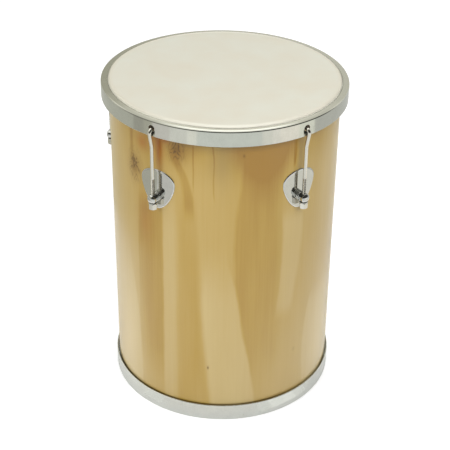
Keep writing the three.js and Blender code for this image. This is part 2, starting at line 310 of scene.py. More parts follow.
def drill_wall(surface, numbers, keep, spec, number):
    """A round hole through a wall at a lug.

    spec holds the rows of the outer and inner window, the half width in columns, the outer and inner radius
    of the wall, and the hole's radius, height and edge. A ring point lies at the hole's centre plus its
    radius times the cosine and sine of the border point's own direction, and outward at the root of R squared
    less its sideways place squared.
    """
    columns_round = numbers.shape[1]
    middle = round(lug_angle(number) / ROUND * columns_round) % columns_round
    offsets = np.arange(-spec["columns"], spec["columns"] + 1)
    columns = (middle + offsets) % columns_round
    outer_rows = np.arange(spec["outer_rows"][0], spec["outer_rows"][1] + 1)
    inner_rows = np.arange(spec["inner_rows"][1], spec["inner_rows"][0] - 1, -1)
    for rows in (outer_rows, inner_rows):
        keep[np.ix_(np.sort(rows)[:-1], columns[:-1])] = False
    outer_loop = window_loop(numbers, outer_rows, columns)
    inner_loop = window_loop(numbers, inner_rows, columns)
    height = np.concatenate(surface.points)[outer_loop, 2] - spec["height"]
    side_of = dict(zip(columns.tolist(), spec["outer"] * np.sin(offsets * ROUND / columns_round)))
    side = np.array([side_of[n % columns_round] for n in outer_loop.tolist()])
    way = np.arctan2(height, side)

    def ring(share, radius, depth, face):
        wall, inward = face
        across = (1 - share) * side + share * radius * np.cos(way)
        above = (1 - share) * height + share * radius * np.sin(way)
        out = np.sqrt(wall ** 2 - across ** 2) + inward * depth
        return surface.add(at_lug(np.stack([across, out, above + spec["height"]], -1), number))

    faces = ((spec["outer"], -1), (spec["inner"], 1))
    rings = hole_rings(ring, spec["radius"], spec["edge"], WALL_SHARES, faces)
    surface.sheet(np.stack([outer_loop, *rings, inner_loop]))


def drilled_ring(name, profile, steps, spec):
    """A closed profile turned into a ring, with a round hole through its wall at each lug."""
    surface = Surface()
    numbers = surface.add(turned_grid(profile, angles_round(steps)))
    keep = np.ones(numbers.shape, bool)
    for number in LUGS:
        drill_wall(surface, numbers, keep, spec, number)
    surface.sheet(numbers, close_rows=True, keep=keep)
    return surface.piece(name)


# %% Wall rows that both faces of a wall share


def wall_rows(low, high, count):
    """Evenly spaced heights strictly between two heights."""
    return np.linspace(low, high, count + 2)[1:-1]


def with_rows(heights, radius):
    """A profile stretch at one radius with the given heights, as points."""
    return np.stack([np.full(len(heights), radius), heights], -1)


# %% [markdown]
# ## The shell
# The shell is a cylinder of bent ply with a light veneer, its grain upright. The upper outer edge is
# rounded so that the head bends over it. Five bores take the shanks of the lug posts. It could be cut with
# boolean modifiers, but a grid that is drilled row by row keeps every face even and the wood smooth round
# the bores.

# %% Shell surface
SHELL_WALL = 6 * MM
SHELL_COLUMNS = 400
ROWS_BELOW = 70
ROWS_ABOVE = 24
BORE_ROWS = np.linspace(-9, 9, 7) * MM
BORE_ROOM = 2 * MM
EDGE_ROOM = 4 * MM
EDGE_REACH = 3 * MM
BEARING_REACH = 3.6 * MM
BEARING_ROUND = 2.6 * MM
INNER_ROUND = 0.9 * MM
FOOT_ROUND = 0.6 * MM
SHANK_BORE = 4.4 * MM
BORE_EDGE = 0.2 * MM
BORE_COLUMNS = 4


def shell_piece():
    """A closed profile turned into the shell, with five bores. The wall has the same rows on both faces."""
    inner, outer = shell_radius - SHELL_WALL, shell_radius
    low, high = shell_low.z, shell_high.z
    near = post_height + BORE_ROWS
    rows = np.concatenate([
        wall_rows(low + EDGE_ROOM, near[0] - BORE_ROOM, ROWS_BELOW),
        near,
        wall_rows(near[-1] + BORE_ROOM, high - EDGE_ROOM, ROWS_ABOVE),
    ])
    bottom = eased([(inner, low + EDGE_REACH), (inner, low), (outer, low), (outer, low + EDGE_REACH)],
                   FOOT_ROUND, closed=False)
    top = eased([(outer, high - BEARING_REACH), (outer, high), (inner, high), (inner, high - EDGE_REACH)],
                [0, BEARING_ROUND, INNER_ROUND, 0], closed=False)
    profile = np.concatenate([bottom, with_rows(rows, outer), top, with_rows(rows[::-1], inner)])
    first, last = ROWS_BELOW, ROWS_BELOW + len(near) - 1
    outer_start = len(bottom)
    inner_end = len(bottom) + len(rows) + len(top) + len(rows) - 1
    spec = {
        "outer_rows": (outer_start + first, outer_start + last),
        "inner_rows": (inner_end - last, inner_end - first),
        "columns": BORE_COLUMNS,
        "outer": outer,
        "inner": inner,
        "radius": SHANK_BORE,
        "height": post_height,
        "edge": BORE_EDGE,
    }
    return drilled_ring("shell_skin", profile, SHELL_COLUMNS, spec)


shell_skin = shell_piece()
print("shell", len(shell_skin.data.polygons), "faces")

# %% [markdown]
# ## The bottom band
# The band is a channel of bright steel pressed over the shell's lower edge. Its wall stands off the wood by
# about two millimetres, so a dark slit shows all round above it.

# %% Bottom band
BAND_SHEET = 1.5 * MM
BAND_LIP = 8 * MM
BAND_GAP = 0.3 * MM
BAND_ROUNDS = np.array([1.2, 1.2, 0.6, 0.5, 0.3, 0.3, 0.5, 0.5]) * MM
FINE_COLUMNS = 480


def band_piece():
    """The channel's profile: outer wall, floor and inner lip, all of one sheet, turned about the axis."""
    outer = band_high.x
    wall_inner = outer - BAND_SHEET
    lip_outer = shell_radius - SHELL_WALL - BAND_GAP
    lip_inner = lip_outer - BAND_SHEET
    corners = [
        (lip_inner, 0), (outer, 0), (outer, band_high.z), (wall_inner, band_high.z), (wall_inner, BAND_SHEET),
        (lip_outer, BAND_SHEET), (lip_outer, BAND_LIP), (lip_inner, BAND_LIP),
    ]
    return turned_piece("band_ring", eased(corners, BAND_ROUNDS), FINE_COLUMNS)


band_ring = band_piece()
print("band", len(band_ring.data.polygons), "faces")

# %% [markdown]
# ## The head and its flesh hoop
# The head is a sheet of milky film. It lies flat across the shell, bends over the rounded edge and runs a
# few millimetres down the outside, where a ring of aluminium grips it under the counterhoop's flange.

# %% Drum head
FILM = 0.5 * MM
HEAD_COLUMNS = FINE_COLUMNS // 2
FLAT_ROWS = 12
FLAT_SHARE = 0.93
BEND_SHARE = 0.95
BEND_STEPS = 8
BEND_REACH = 1 * MM
HEM_REACH = 0.6 * MM
HEM_ROUND = 0.2 * MM
HEM_STEPS = 3


def with_heights(radii, height):
    """A profile stretch at one height with the given radii, as points."""
    return np.stack([radii, np.full_like(radii, height)], -1)


def head_piece():
    """A profile from the axis along the underside, down the collar, up its outside and back to the axis."""
    bottom, top = head_high.z - FILM, head_high.z
    outer, inner = film_radius, film_radius - FILM
    collar = head_low.z
    spokes = np.linspace(0, FLAT_SHARE, FLAT_ROWS)[1:] * inner
    under = with_heights(spokes, bottom)
    over = with_heights(spokes[::-1], top)
    bend_start = inner * BEND_SHARE
    bend_under = eased([(bend_start, bottom), (inner, bottom), (inner, collar + BEND_REACH)],
                       [0, BEARING_ROUND, 0], closed=False, steps=BEND_STEPS)
    hem = eased([(inner, collar + HEM_REACH), (inner, collar), (outer, collar), (outer, collar + HEM_REACH)],
                HEM_ROUND, closed=False, steps=HEM_STEPS)
    bend_over = eased([(outer, collar + BEND_REACH), (outer, top), (bend_start, top)],
                      [0, BEARING_ROUND + FILM, 0], closed=False, steps=BEND_STEPS)
    profile = np.concatenate([under, bend_under, hem, bend_over, over])
    surface = Surface()
    numbers = surface.add(turned_grid(profile, angles_round(HEAD_COLUMNS)))
    poles = surface.add(np.array([[0, 0, bottom], [0, 0, top]]))
    surface.sheet(numbers)
    surface.fan(poles[0], numbers[0], at_end=False)
    surface.fan(poles[1], numbers[-1])
    return surface.piece("head_sheet")


head_sheet = head_piece()

# %% Flesh hoop
FLESH_GAP = 0.3 * MM
FLESH_ROUND = 1.2 * MM


def flesh_piece():
    """A solid ring with eased corners."""
    low, high = flesh_low.z, flesh_high.z
    inner, outer = film_radius + FLESH_GAP, flesh_high.x
    corners = [(inner, low), (outer, low), (outer, high), (inner, high)]
    return turned_piece("flesh_ring", eased(corners, FLESH_ROUND), HEAD_COLUMNS)


flesh_ring = flesh_piece()
print("head", len(head_sheet.data.polygons), "flesh hoop", len(flesh_ring.data.polygons), "faces")

# %% [markdown]
# ## The counterhoop
# A flat steel hoop with a narrow flange turned in at the top. The flange presses on the flesh hoop, and
# five round holes in the wall take the hooks. The wall is a mirror, so its corners are arcs and its holes
# have a small round at the edge.

# %% Counterhoop
HOOP_SHEET = 1.8 * MM
FLANGE_SHEET = 1.5 * MM
FLANGE_GAP = 0.25 * MM
CROWN = 0.5 * MM
CROWN_RUN = 0.9 * MM
FOOT_REACH = 2 * MM
RIM_REACH = 3 * MM
INNER_REACH = 1 * MM
RIM_ROUND = 0.45 * MM
TOP_ROUNDS = np.array([0, 1.6, 3, 0.4, 0.4, 0.3, 0]) * MM
TOP_STEPS = 10
HOOK_HOLE = 4.4 * MM
HOOK_HOLE_DROP = 10.6 * MM
HOOK_HOLE_EDGE = 0.35 * MM
HOOK_HOLE_ROWS = np.linspace(-5.5, 5.5, 15) * MM
HOOK_HOLE_COLUMNS = 5
HOOP_COLUMNS = 720


def hoop_piece():
    """The hoop's profile turned about the axis, with a drilled hole at each lug."""
    outer, inner = hoop_radius, hoop_radius - HOOP_SHEET
    low, high = hoop_low.z, hoop_high.z
    flange_inner = film_radius + FLANGE_GAP
    crown_start = flange_inner + CROWN_RUN
    under = high - FLANGE_SHEET
    hole_height = high - HOOK_HOLE_DROP
    rows = hole_height + HOOK_HOLE_ROWS
    foot = eased([(inner, low + FOOT_REACH), (inner, low), (outer, low), (outer, low + FOOT_REACH)],
                 RIM_ROUND, closed=False)
    top = eased([(outer, high - RIM_REACH), (outer, high - CROWN), (crown_start, high), (flange_inner, high),
                 (flange_inner, under), (inner, under), (inner, under - INNER_REACH)],
                TOP_ROUNDS, closed=False, steps=TOP_STEPS)
    profile = np.concatenate([foot, with_rows(rows, outer), top, with_rows(rows[::-1], inner)])
    outer_start = len(foot)
    inner_start = len(foot) + len(rows) + len(top)
    spec = {
        "outer_rows": (outer_start, outer_start + len(rows) - 1),
        "inner_rows": (inner_start, inner_start + len(rows) - 1),
        "columns": HOOK_HOLE_COLUMNS,
        "outer": outer,
        "inner": inner,
        "radius": HOOK_HOLE,
        "height": hole_height,
        "edge": HOOK_HOLE_EDGE,
    }
    return drilled_ring("hoop_rim", profile, HOOP_COLUMNS, spec)


hoop_rim = hoop_piece()
print("hoop", len(hoop_rim.data.polygons), "faces")

# %% [markdown]
# ## Lug plates
# Each plate is a thin polished sheet in the shape of a plectrum, bent to the shell. Its outline is four
# smooth curves. Rings of points lead from the bore in the middle out to that outline, round its edge and
# back.

# %% Outline of a lug plate
SHOULDER = 20.2 * MM
CROWN_SHARE = 0.5
UPPER_SHARE = 0.62
LOWER_SHARE = 0.35
OUTLINE_STEPS = 36


def cubic(p0, p1, p2, p3, steps):
    """Points of a cubic curve: the four given points weighted by (1-t)^3, 3t(1-t)^2, 3t^2(1-t) and t^3."""
    t = np.linspace(0, 1, steps, endpoint=False)[:, None]
    weights = ((1 - t) ** 3, 3 * t * (1 - t) ** 2, 3 * t ** 2 * (1 - t), t ** 3)
    return sum(w * np.asarray(p) for w, p in zip(weights, (p0, p1, p2, p3)))


def plate_outline():
    """The plate's outline about the post's axis, clockwise from outside: the right half, then its mirror."""
    top, tip = plate.high - post_height, post_height - plate.low
    level = CROWN_SHARE * plate.half
    upper = SHOULDER + UPPER_SHARE * (top - SHOULDER)
    lower = SHOULDER - LOWER_SHARE * (SHOULDER + tip)
    right_top = cubic((0, top), (level, top), (plate.half, upper), (plate.half, SHOULDER), OUTLINE_STEPS)
    right_tip = cubic((plate.half, SHOULDER), (plate.half, lower), (level, -tip), (0, -tip), OUTLINE_STEPS)
    right = np.concatenate([right_top, right_tip])
    return np.concatenate([right, [(0, -tip)], right[:0:-1] * (-1, 1)])


# %% Lug plates
PLATE_EDGE = 1.9 * MM
PLATE_EDGE_DROP = 0.95 * MM
PLATE_RINGS = 22
PLATE_TURNS = np.linspace(0, math.pi / 2, 10)[1:]
PLATE_BACK_ROUND = 0.1 * MM
BACK_STRIDE = 3


def plate_grid():
    """Rings from the bore to the outline on the outer face, over its edge, and back on the inner face.

    A ring at share s lies at the bore's point times (1 - s) plus the outline's point times s. Outward it lies
    at the root of R squared less its sideways place squared, which bends the flat sheet to the shell.
    """
    outline = plate_outline()
    heading = np.arctan2(outline[:, 1], outline[:, 0])
    bore = SHANK_BORE * np.stack([np.cos(heading), np.sin(heading)], -1)
    ahead = np.roll(outline, -1, axis=0) - np.roll(outline, 1, axis=0)
    inward = np.stack([ahead[:, 1], -ahead[:, 0]], -1)
    inward = inward / np.linalg.norm(inward, axis=1, keepdims=True)
    rim = outline + inward * PLATE_EDGE

    def ring(flat, radius):
        out = np.sqrt(radius ** 2 - flat[:, 0] ** 2)
        return np.stack([flat[:, 0], out, flat[:, 1] + post_height], -1)

    shares = np.linspace(0, 1, PLATE_RINGS)
    rings = [ring(bore * (1 - s) + rim * s, plate.outer) for s in shares]
    for t in PLATE_TURNS:
        edge = rim - inward * PLATE_EDGE * math.sin(t)
        rings.append(ring(edge, plate.outer - PLATE_EDGE_DROP * (1 - math.cos(t))))
    rings.append(ring(outline, plate.inner + PLATE_BACK_ROUND))
    rings.append(ring(outline + inward * PLATE_BACK_ROUND, plate.inner))
    rings += [ring(bore * (1 - s) + rim * s, plate.inner) for s in shares[::-BACK_STRIDE]]
    rings.append(ring(bore, plate.inner))
    return np.array(rings)


def for_each_lug(name, surface):
    """The same surface made once for each lug, as name_1 to name_5."""
    return [surface.piece(f"{name}_{number}", number) for number in LUGS]


plate_surface = Surface()
plate_surface.sheet(plate_surface.add(plate_grid()), close_rows=True)
plates = for_each_lug("plate", plate_surface)
print("plate", len(plates[0].data.polygons), "faces")

# %% [markdown]
# ## Lug posts
# A post is one turned piece: a threaded shank that goes through the shell, then a thick round barrel with
# three fine grooves and a domed end. The hook's rod passes up through a hole across the barrel, and the
# underside is filed flat where the washer sits.

# %% Threads and places about a lug's two axes
THREAD_SHARE = 0.42
RINGS_A_TURN = 8
RIDGE_GAIN = 1.35
RIDGE_START = 0.15


def upright(radius, height, angle):
    """A point about the hook rod's axis, which stands upright in front of the shell."""
    return np.stack([radius * np.cos(angle), rod_place - radius * np.sin(angle), height + 0 * angle], -1)


def outward(radius, place, angle):
    """A point about the post's axis, which points outward through the shell."""
    return np.stack([radius * np.cos(angle), place + 0 * angle, post_height + radius * np.sin(angle)], -1)


def thread_radius(crest, pitch, place, angle):
    """A helical ridge: the depth follows a triangle wave of place / pitch less angle / full turn."""
    phase = place / pitch - angle / ROUND
    wave = 2 * np.abs(phase - np.floor(phase) - 0.5)
    ridge = np.clip(RIDGE_GAIN * wave - RIDGE_START, 0, 1)
    return crest - THREAD_SHARE * pitch * (1 - ridge)


# %% Lug post profile
POST_COLUMNS = 96
SHANK_RADIUS = 4 * MM
SHANK_PITCH = 1.25 * MM
SHANK_CHAMFER = 0.8 * MM
SHANK_END_SHARE = 0.6
THREAD_RUNOUT = 0.5 * MM
POST_DOME = 2.8 * MM
GROOVES = 3
GROOVE_START = 0.7 * MM
GROOVE_STEP = 1.5 * MM
GROOVE_WIDTH = 0.8 * MM
GROOVE_DEPTH = 0.45 * MM
POST_ROUNDS = np.array([0, 0.3] + [0.1, 0.08, 0.1] * GROOVES + [0]) * MM
POST_ROUND_STEPS = 3
BARREL_GUARD = 0.05 * MM
DOME_ROWS = 14
DOME_EASE = 0.04 * MM
post_shoulder = plate.outer + 0.3 * MM
dome_start = post.outer - POST_DOME
thread_end = shell_radius - SHELL_WALL
hole_rows = rod_place + np.linspace(-3.5, 3.5, 15) * MM


def post_profile():
    """Place and radius along the post: chamfered shank end, thread, shoulder, grooves, barrel and dome."""
    threaded = np.arange(post.inner + SHANK_CHAMFER, thread_end, SHANK_PITCH / RINGS_A_TURN)
    shank = [(post.inner, SHANK_END_SHARE * SHANK_RADIUS), (post.inner, SHANK_RADIUS - SHANK_CHAMFER)]
    shank += [(s, SHANK_RADIUS) for s in threaded]
    shank += [(thread_end + THREAD_RUNOUT, SHANK_RADIUS)]
    corners = [(post_shoulder, SHANK_RADIUS), (post_shoulder, post_radius)]
    for i in range(GROOVES):
        start = post_shoulder + GROOVE_START + i * GROOVE_STEP
        corners += [
            (start, post_radius),
            (start + GROOVE_WIDTH / 2, post_radius - GROOVE_DEPTH),
            (start + GROOVE_WIDTH, post_radius),
        ]
    corners.append((hole_rows[0] - BARREL_GUARD, post_radius))
    barrel = eased(corners, POST_ROUNDS, closed=False, steps=POST_ROUND_STEPS)
    hole = [(s, post_radius) for s in hole_rows]
    sphere = (post_radius ** 2 + POST_DOME ** 2) / (2 * POST_DOME)
    half = math.asin(post_radius / sphere)
    t = half * np.linspace(1, 0, DOME_ROWS)[:-1]
    dome = np.stack([dome_start + sphere * (np.cos(t) - math.cos(half)), sphere * np.sin(t)], -1)
    dome[0, 1] -= DOME_EASE
    return np.concatenate([shank, barrel, hole, dome])


# %% Lug posts
ROD_HOLE = 2.9 * MM
HOLE_EDGE = 0.25 * MM
HOLE_COLUMNS = 10
SEAT_HEIGHT = 5.35 * MM
SEAT_REACH = 6.1 * MM
THREAD_START = post.inner + 1.1 * SHANK_CHAMFER
POST_SHARES = (0.4, 0.8, 1)


def post_surface():
    """The profile turned about the post's axis, threaded on the shank, filed flat below and drilled through.

    The flat keeps every point outside the seat's start no lower than the seat. The hole runs straight down:
    a ring point keeps its sideways and outward place from the top of the barrel to the flat.
    """
    profile = post_profile()
    place, radius = profile[:, :1], profile[:, 1:]
    angles = ROUND * np.arange(POST_COLUMNS) / POST_COLUMNS
    on_thread = (place > THREAD_START) & (place < thread_end)
    threaded = thread_radius(SHANK_RADIUS, SHANK_PITCH, place, angles)
    radii = np.where(on_thread, threaded, radius + 0 * angles)
    grid = outward(radii, place, angles)
    filed = (grid[..., 1] > rod_place - SEAT_REACH) & (grid[..., 2] < post_height - SEAT_HEIGHT)
    grid[..., 2] = np.where(filed, post_height - SEAT_HEIGHT, grid[..., 2])
    surface = Surface()
    numbers = surface.add(grid)
    keep = np.ones((len(grid) - 1, POST_COLUMNS), bool)
    first = int(np.argmin(np.abs(profile[:, 0] - hole_rows[0])))
    rows = np.arange(first, first + len(hole_rows))
    quarter = POST_COLUMNS // 4
    above = np.arange(quarter - HOLE_COLUMNS, quarter + HOLE_COLUMNS + 1)
    below = above + 2 * quarter
    for columns in (above, below):
        keep[np.ix_(rows[:-1], columns[:-1])] = False
    top_loop = window_loop(numbers, rows, above)
    low_loop = window_loop(numbers, rows, below[::-1])
    flat = grid.reshape(-1, 3)
    side, along = flat[top_loop, 0], flat[top_loop, 1] - rod_place
    way = np.arctan2(along, side)

    def ring(share, hole, depth, top):
        across = (1 - share) * side + share * hole * np.cos(way)
        out = (1 - share) * along + share * hole * np.sin(way)
        reach = np.sqrt(post_radius ** 2 - across ** 2)
        level = reach - depth if top else depth - np.minimum(reach, SEAT_HEIGHT)
        return surface.add(np.stack([across, rod_place + out, post_height + level], -1))

    rings = hole_rings(ring, ROD_HOLE, HOLE_EDGE, POST_SHARES, (True, False))
    surface.sheet(np.stack([top_loop, *rings, low_loop]))
    surface.sheet(numbers, keep=keep)
    poles = surface.add(np.array([[0, post.inner, post_height], [0, post.outer, post_height]]))
    surface.fan(poles[0], numbers[0], at_end=False)
    surface.fan(poles[1], numbers[-1])
    return surface


posts = for_each_lug("post", post_surface())
print("post", len(posts[0].data.polygons), "faces")

# %% [markdown]
# ## Tension hooks
# A hook is a rod of round steel. Its lower half is threaded, it leans out a little to clear the hoop, and
# its top is bent over into a leg that goes through the hole in the hoop. The thread is a true helix: each
# ring of points has its radius from how far along the rod it lies and from its angle.

# %% Path of a hook
ROD_RADIUS = 2.5 * MM
LEG_DROP = 11.7 * MM
BEND_RADIUS = 4.7 * MM
LEAN_RADIUS = 12 * MM
LEAN_ANGLE = math.pi / 15
LEAN_OUT = hook.outer - rod_place - ROD_RADIUS
THREAD_TOP = 371 * MM
HOOK_STEPS = {"rod": 12, "lean": 5, "slope": 8, "bend": 20, "leg": 4}
ROD_PITCH = 0.8 * MM


def hook_path():
    """Outward place, height and heading of stations along the rod.

    The heading is the angle from upright, outward positive. On a bend of radius r the place moves by r times
    the change of the heading's cosine, and the height by r times the change of its sine.
    """
    bow = 1 - math.cos(LEAN_ANGLE)
    lean = (LEAN_OUT - (LEAN_RADIUS + BEND_RADIUS) * bow) / math.sin(LEAN_ANGLE)
    climb = (LEAN_RADIUS + BEND_RADIUS) * math.sin(LEAN_ANGLE) + lean * math.cos(LEAN_ANGLE) + BEND_RADIUS
    straight_top = hoop_high.z - LEG_DROP - climb
    threaded = np.arange(hook.low, THREAD_TOP, ROD_PITCH / RINGS_A_TURN)
    plain = np.linspace(THREAD_TOP, straight_top, HOOK_STEPS["rod"])
    stations = [(rod_place, height, 0) for height in np.concatenate([threaded, plain])]

    def bend(radius, angle, steps):
        out, height, heading = stations[-1]
        side = math.copysign(1, angle)
        for step in range(1, steps + 1):
            later = heading + angle * step / steps
            stations.append((
                out + side * radius * (math.cos(heading) - math.cos(later)),
                height + side * radius * (math.sin(later) - math.sin(heading)),
                later,
            ))

    def forward(length, steps):
        out, height, heading = stations[-1]
        for step in range(1, steps + 1):
            gone = length * step / steps
            stations.append((out + gone * math.sin(heading), height + gone * math.cos(heading), heading))

    bend(LEAN_RADIUS, LEAN_ANGLE, HOOK_STEPS["lean"])
    forward(lean, HOOK_STEPS["slope"])
    bend(BEND_RADIUS, -LEAN_ANGLE - math.pi / 2, HOOK_STEPS["bend"])
    forward(stations[-1][0] - hook.inner, HOOK_STEPS["leg"])
    return np.array(stations)


# %% Tension hooks
HOOK_COLUMNS = 32
TIP_DOME = 0.9 * MM
TIP_SHARE = 0.72
DOME_SHARE = 0.28
END_CHAMFER = 0.5 * MM
RUNOUT_TURNS = 2


def hook_surface():
    """Rings round the path: r cos a sideways, and r sin a square to the heading and the sideways axis."""
    path = hook_path()
    gaps = np.hypot(np.diff(path[:, 0]), np.diff(path[:, 1]))
    travel = np.concatenate([[0], np.cumsum(gaps)])[:, None]
    angles = ROUND * np.arange(HOOK_COLUMNS) / HOOK_COLUMNS
    thread = thread_radius(ROD_RADIUS, ROD_PITCH, travel, angles)
    runout = np.clip((THREAD_TOP - hook.low - travel) / (RUNOUT_TURNS * ROD_PITCH), 0, 1)
    radius = ROD_RADIUS - (ROD_RADIUS - thread) * runout
    chamfer = ROD_RADIUS - END_CHAMFER + travel
    radius = np.minimum(radius, chamfer)
    left = travel[-1] - travel
    dome = np.where(left < TIP_DOME, np.sqrt(np.maximum(0, 1 - (1 - left / TIP_DOME) ** 2)), 1)
    radius = radius * (TIP_SHARE + DOME_SHARE * dome)
    out, height, heading = path[:, :1], path[:, 1:2], path[:, 2:]
    across, upward = radius * np.cos(angles), radius * np.sin(angles)
    grid = np.stack([across, out - upward * np.cos(heading), height + upward * np.sin(heading)], -1)
    surface = Surface()
    numbers = surface.add(grid)
    surface.sheet(numbers)
    poles = surface.add(np.array([[0, *path[0, :2]], [0, *path[-1, :2]]]))
    surface.fan(poles[0], numbers[0], at_end=False)
    surface.fan(poles[1], numbers[-1])
    return surface


hooks = for_each_lug("hook", hook_surface())
print("hook", len(hooks[0].data.polygons), "faces")

# %% [markdown]
# ## Nuts and washers
# A hexagon nut is six flats and a turned cone at each end that eases the corners. The six-sided outline is
# written as one smooth formula, so that the corners are a little round, as on a real nut.

# %% Nuts
NUT_COLUMNS = 144
CORNER_POWER = 60
CONE_START_SHARE = 0.96
CONE_SLOPE = math.tan(math.radians(30))
CONE_GUARD = 0.08 * MM
NUT_BORE = 2.6 * MM
NUT_SINK = 0.4 * MM
INNER_NUT_BORE = 4.1 * MM
INNER_NUT_SINK = 0.5 * MM


def hexagon(half, angle):
    """The radius of a hexagon at an angle: the half width over a power mean of the cosines to its flats."""
    flats = np.radians(30 + 60 * np.arange(6))
    cosines = np.maximum(0, np.cos(angle[:, None] - flats))
    return half * (cosines ** CORNER_POWER).sum(-1) ** (-1 / CORNER_POWER)


def nut_surface(place_about, half, low, high, bore, sink):
    """Rows round a nut's section: face, cone, flat side, cone, face and bore, sunk at both bore ends."""
    angles = ROUND * np.arange(NUT_COLUMNS) / NUT_COLUMNS
    side = hexagon(half, angles)
    cone = CONE_START_SHARE * half
    drop = np.maximum(0, side - cone) * CONE_SLOPE
    level = 0 * angles
    rows = [
        (level + bore + sink, level + low),
        (level + cone - CONE_GUARD, level + low),
        (level + cone, level + low),
        (side, low + drop),
        (side, low + drop + CONE_GUARD),
        (side, high - drop - CONE_GUARD),
        (side, high - drop),
        (level + cone, level + high),
        (level + cone - CONE_GUARD, level + high),
        (level + bore + sink, level + high),
        (level + bore, level + high - sink),
        (level + bore, level + low + sink),
    ]
    grid = np.array([place_about(radius, height, angles) for radius, height in rows])
    surface = Surface()
    surface.sheet(surface.add(grid), close_rows=True)
    return surface


nuts = for_each_lug("nut", nut_surface(
    upright, (nut.outer - nut.inner) / 2, nut.low, nut.high, NUT_BORE, NUT_SINK))
inner_nuts = for_each_lug("inner_nut", nut_surface(
    outward, (inner_nut.high - inner_nut.low) / 2, inner_nut.inner, inner_nut.outer, INNER_NUT_BORE,
    INNER_NUT_SINK))
print("nut", len(nuts[0].data.polygons), "faces")

# %% Washers
WASHER_COLUMNS = 96
WASHER_EDGE = 0.2 * MM
WASHER_BORE = 2.75 * MM
INNER_WASHER_BORE = 4.3 * MM


def washer_surface(place_about, radius, low, high, bore):
    """An eased rectangle turned about a lug's axis."""
    angles = ROUND * np.arange(WASHER_COLUMNS) / WASHER_COLUMNS
    corners = [(bore, low), (radius, low), (radius, high), (bore, high)]
    profile = eased(corners, WASHER_EDGE)
    grid = place_about(profile[:, :1], profile[:, 1:], angles)
    surface = Surface()
    surface.sheet(surface.add(grid), close_rows=True)
    return surface


washers = for_each_lug("washer", washer_surface(
    upright, washer.half, washer.low, washer.high, WASHER_BORE))
inner_washers = for_each_lug("inner_washer", washer_surface(
    outward, inner_washer.half, inner_washer.inner, inner_washer.outer, INNER_WASHER_BORE))
print("washer", len(washers[0].data.polygons), "faces")

# %% [markdown]
# ## Finishes
# Every finish is a short tree of nodes. A small helper adds a node, sets its values and joins its sockets,
# so that each finish reads as a recipe.

# %% Adding a node


def add_node(tree, kind, inputs=None, **settings):
    """Adds a node; inputs may be values or other nodes' output sockets."""
    made = tree.nodes.new(kind)
    for key, value in settings.items():
        setattr(made, key, value)
    for key, value in (inputs or {}).items():
        if isinstance(value, bpy.types.NodeSocket):
            tree.links.new(value, made.inputs[key])
        else:
            made.inputs[key].default_value = value
    return made


def calc(tree, operation, *values, clamp=False):
    """One step of arithmetic on numbers or sockets."""
    return add_node(tree, "ShaderNodeMath", dict(enumerate(values)), operation=operation,
                    use_clamp=clamp).outputs[0]


# %% Numbers


def noise(tree, where, scale, detail=2.0, roughness=0.5, distortion=0.0, length=None):
    """Soft random values from 0 to 1 at a scale per metre; a length below 1 draws them out along Z."""
    if length:
        where = add_node(tree, "ShaderNodeMapping", {"Vector": where, "Scale": (1, 1, length)}).outputs[0]
    inputs = {"Vector": where, "Scale": scale, "Detail": detail, "Roughness": roughness,
              "Distortion": distortion}
    return add_node(tree, "ShaderNodeTexNoise", inputs).outputs[0]


def times(tree, *factors):
    """The product of numbers or sockets."""
    product = factors[0]
    for factor in factors[1:]:
        product = calc(tree, "MULTIPLY", product, factor)
    return product


def step_past(tree, value, edge, soft):
    """0 below an edge and 1 past it, eased over a distance soft to both sides."""
    gap = calc(tree, "SUBTRACT", value, edge)
    return add_node(tree, "ShaderNodeMapRange", {"Value": gap, "From Min": -soft, "From Max": soft},
                    interpolation_type="SMOOTHSTEP").outputs[0]


def spread(tree, value, low, high, start=0.0, end=1.0):
    """A value between start and end mapped evenly to between low and high."""
    inputs = {"Value": value, "From Min": start, "From Max": end, "To Min": low, "To Max": high}
    return add_node(tree, "ShaderNodeMapRange", inputs).outputs[0]


def xyz(tree, vector):
    """The three parts of a vector, by name."""
    return add_node(tree, "ShaderNodeSeparateXYZ", {0: vector}).outputs


# %% Colours


def linear(r, g, b):
    """A screen colour from 0 to 255 as the linear values that shaders use.

    A share s is s / 12.92 up to 0.04045, and ((s + 0.055) / 1.055) ^ 2.4 past it.
    """
    share = np.array([r, g, b]) / 255
    return tuple(np.where(share <= 0.04045, share / 12.92, ((share + 0.055) / 1.055) ** 2.4).tolist())


def paint(r, g, b):
    """The same colour with the alpha of 1 that a colour socket wants."""
    return (*linear(r, g, b), 1)


def ramp(tree, factor, stops):
    """A colour for each value: stops are (place, colour). A new stop waits at the middle for its place."""
    node = add_node(tree, "ShaderNodeValToRGB", {"Fac": factor})
    elements = node.color_ramp.elements
    while len(elements) < len(stops):
        elements.new(0.5)
    for element, (place, colour) in zip(elements, stops):
        element.position = place
        element.color = (*colour, 1)
    return node.outputs[0]


def mix(tree, share, first, second):
    """The first colour where share is 0, and the second where it is 1."""
    node = add_node(tree, "ShaderNodeMix", data_type="RGBA")
    for socket, value in zip((node.inputs[0], node.inputs[6], node.inputs[7]), (share, first, second)):
        if isinstance(value, bpy.types.NodeSocket):
            tree.links.new(value, socket)
        else:
            socket.default_value = value
    return node.outputs[2]


# %% A new finish


def empty_tree(owner):
    """The node tree of a material or a world, cleared."""
    owner.use_nodes = True
    owner.node_tree.nodes.clear()
    return owner.node_tree


def send(tree, shader, kind="ShaderNodeOutputMaterial"):
    """Joins a shader to the tree's output."""
    tree.links.new(shader.outputs[0], add_node(tree, kind).inputs[0])


def new_finish(name, **constants):
    """A material with one shader; constants are set on the shader's own sockets."""
    made = bpy.data.materials.new(name)
    tree = empty_tree(made)
    shader = add_node(tree, "ShaderNodeBsdfPrincipled", constants)
    send(tree, shader)
    where = add_node(tree, "ShaderNodeTexCoord").outputs["Object"]
    return made, tree, shader, where


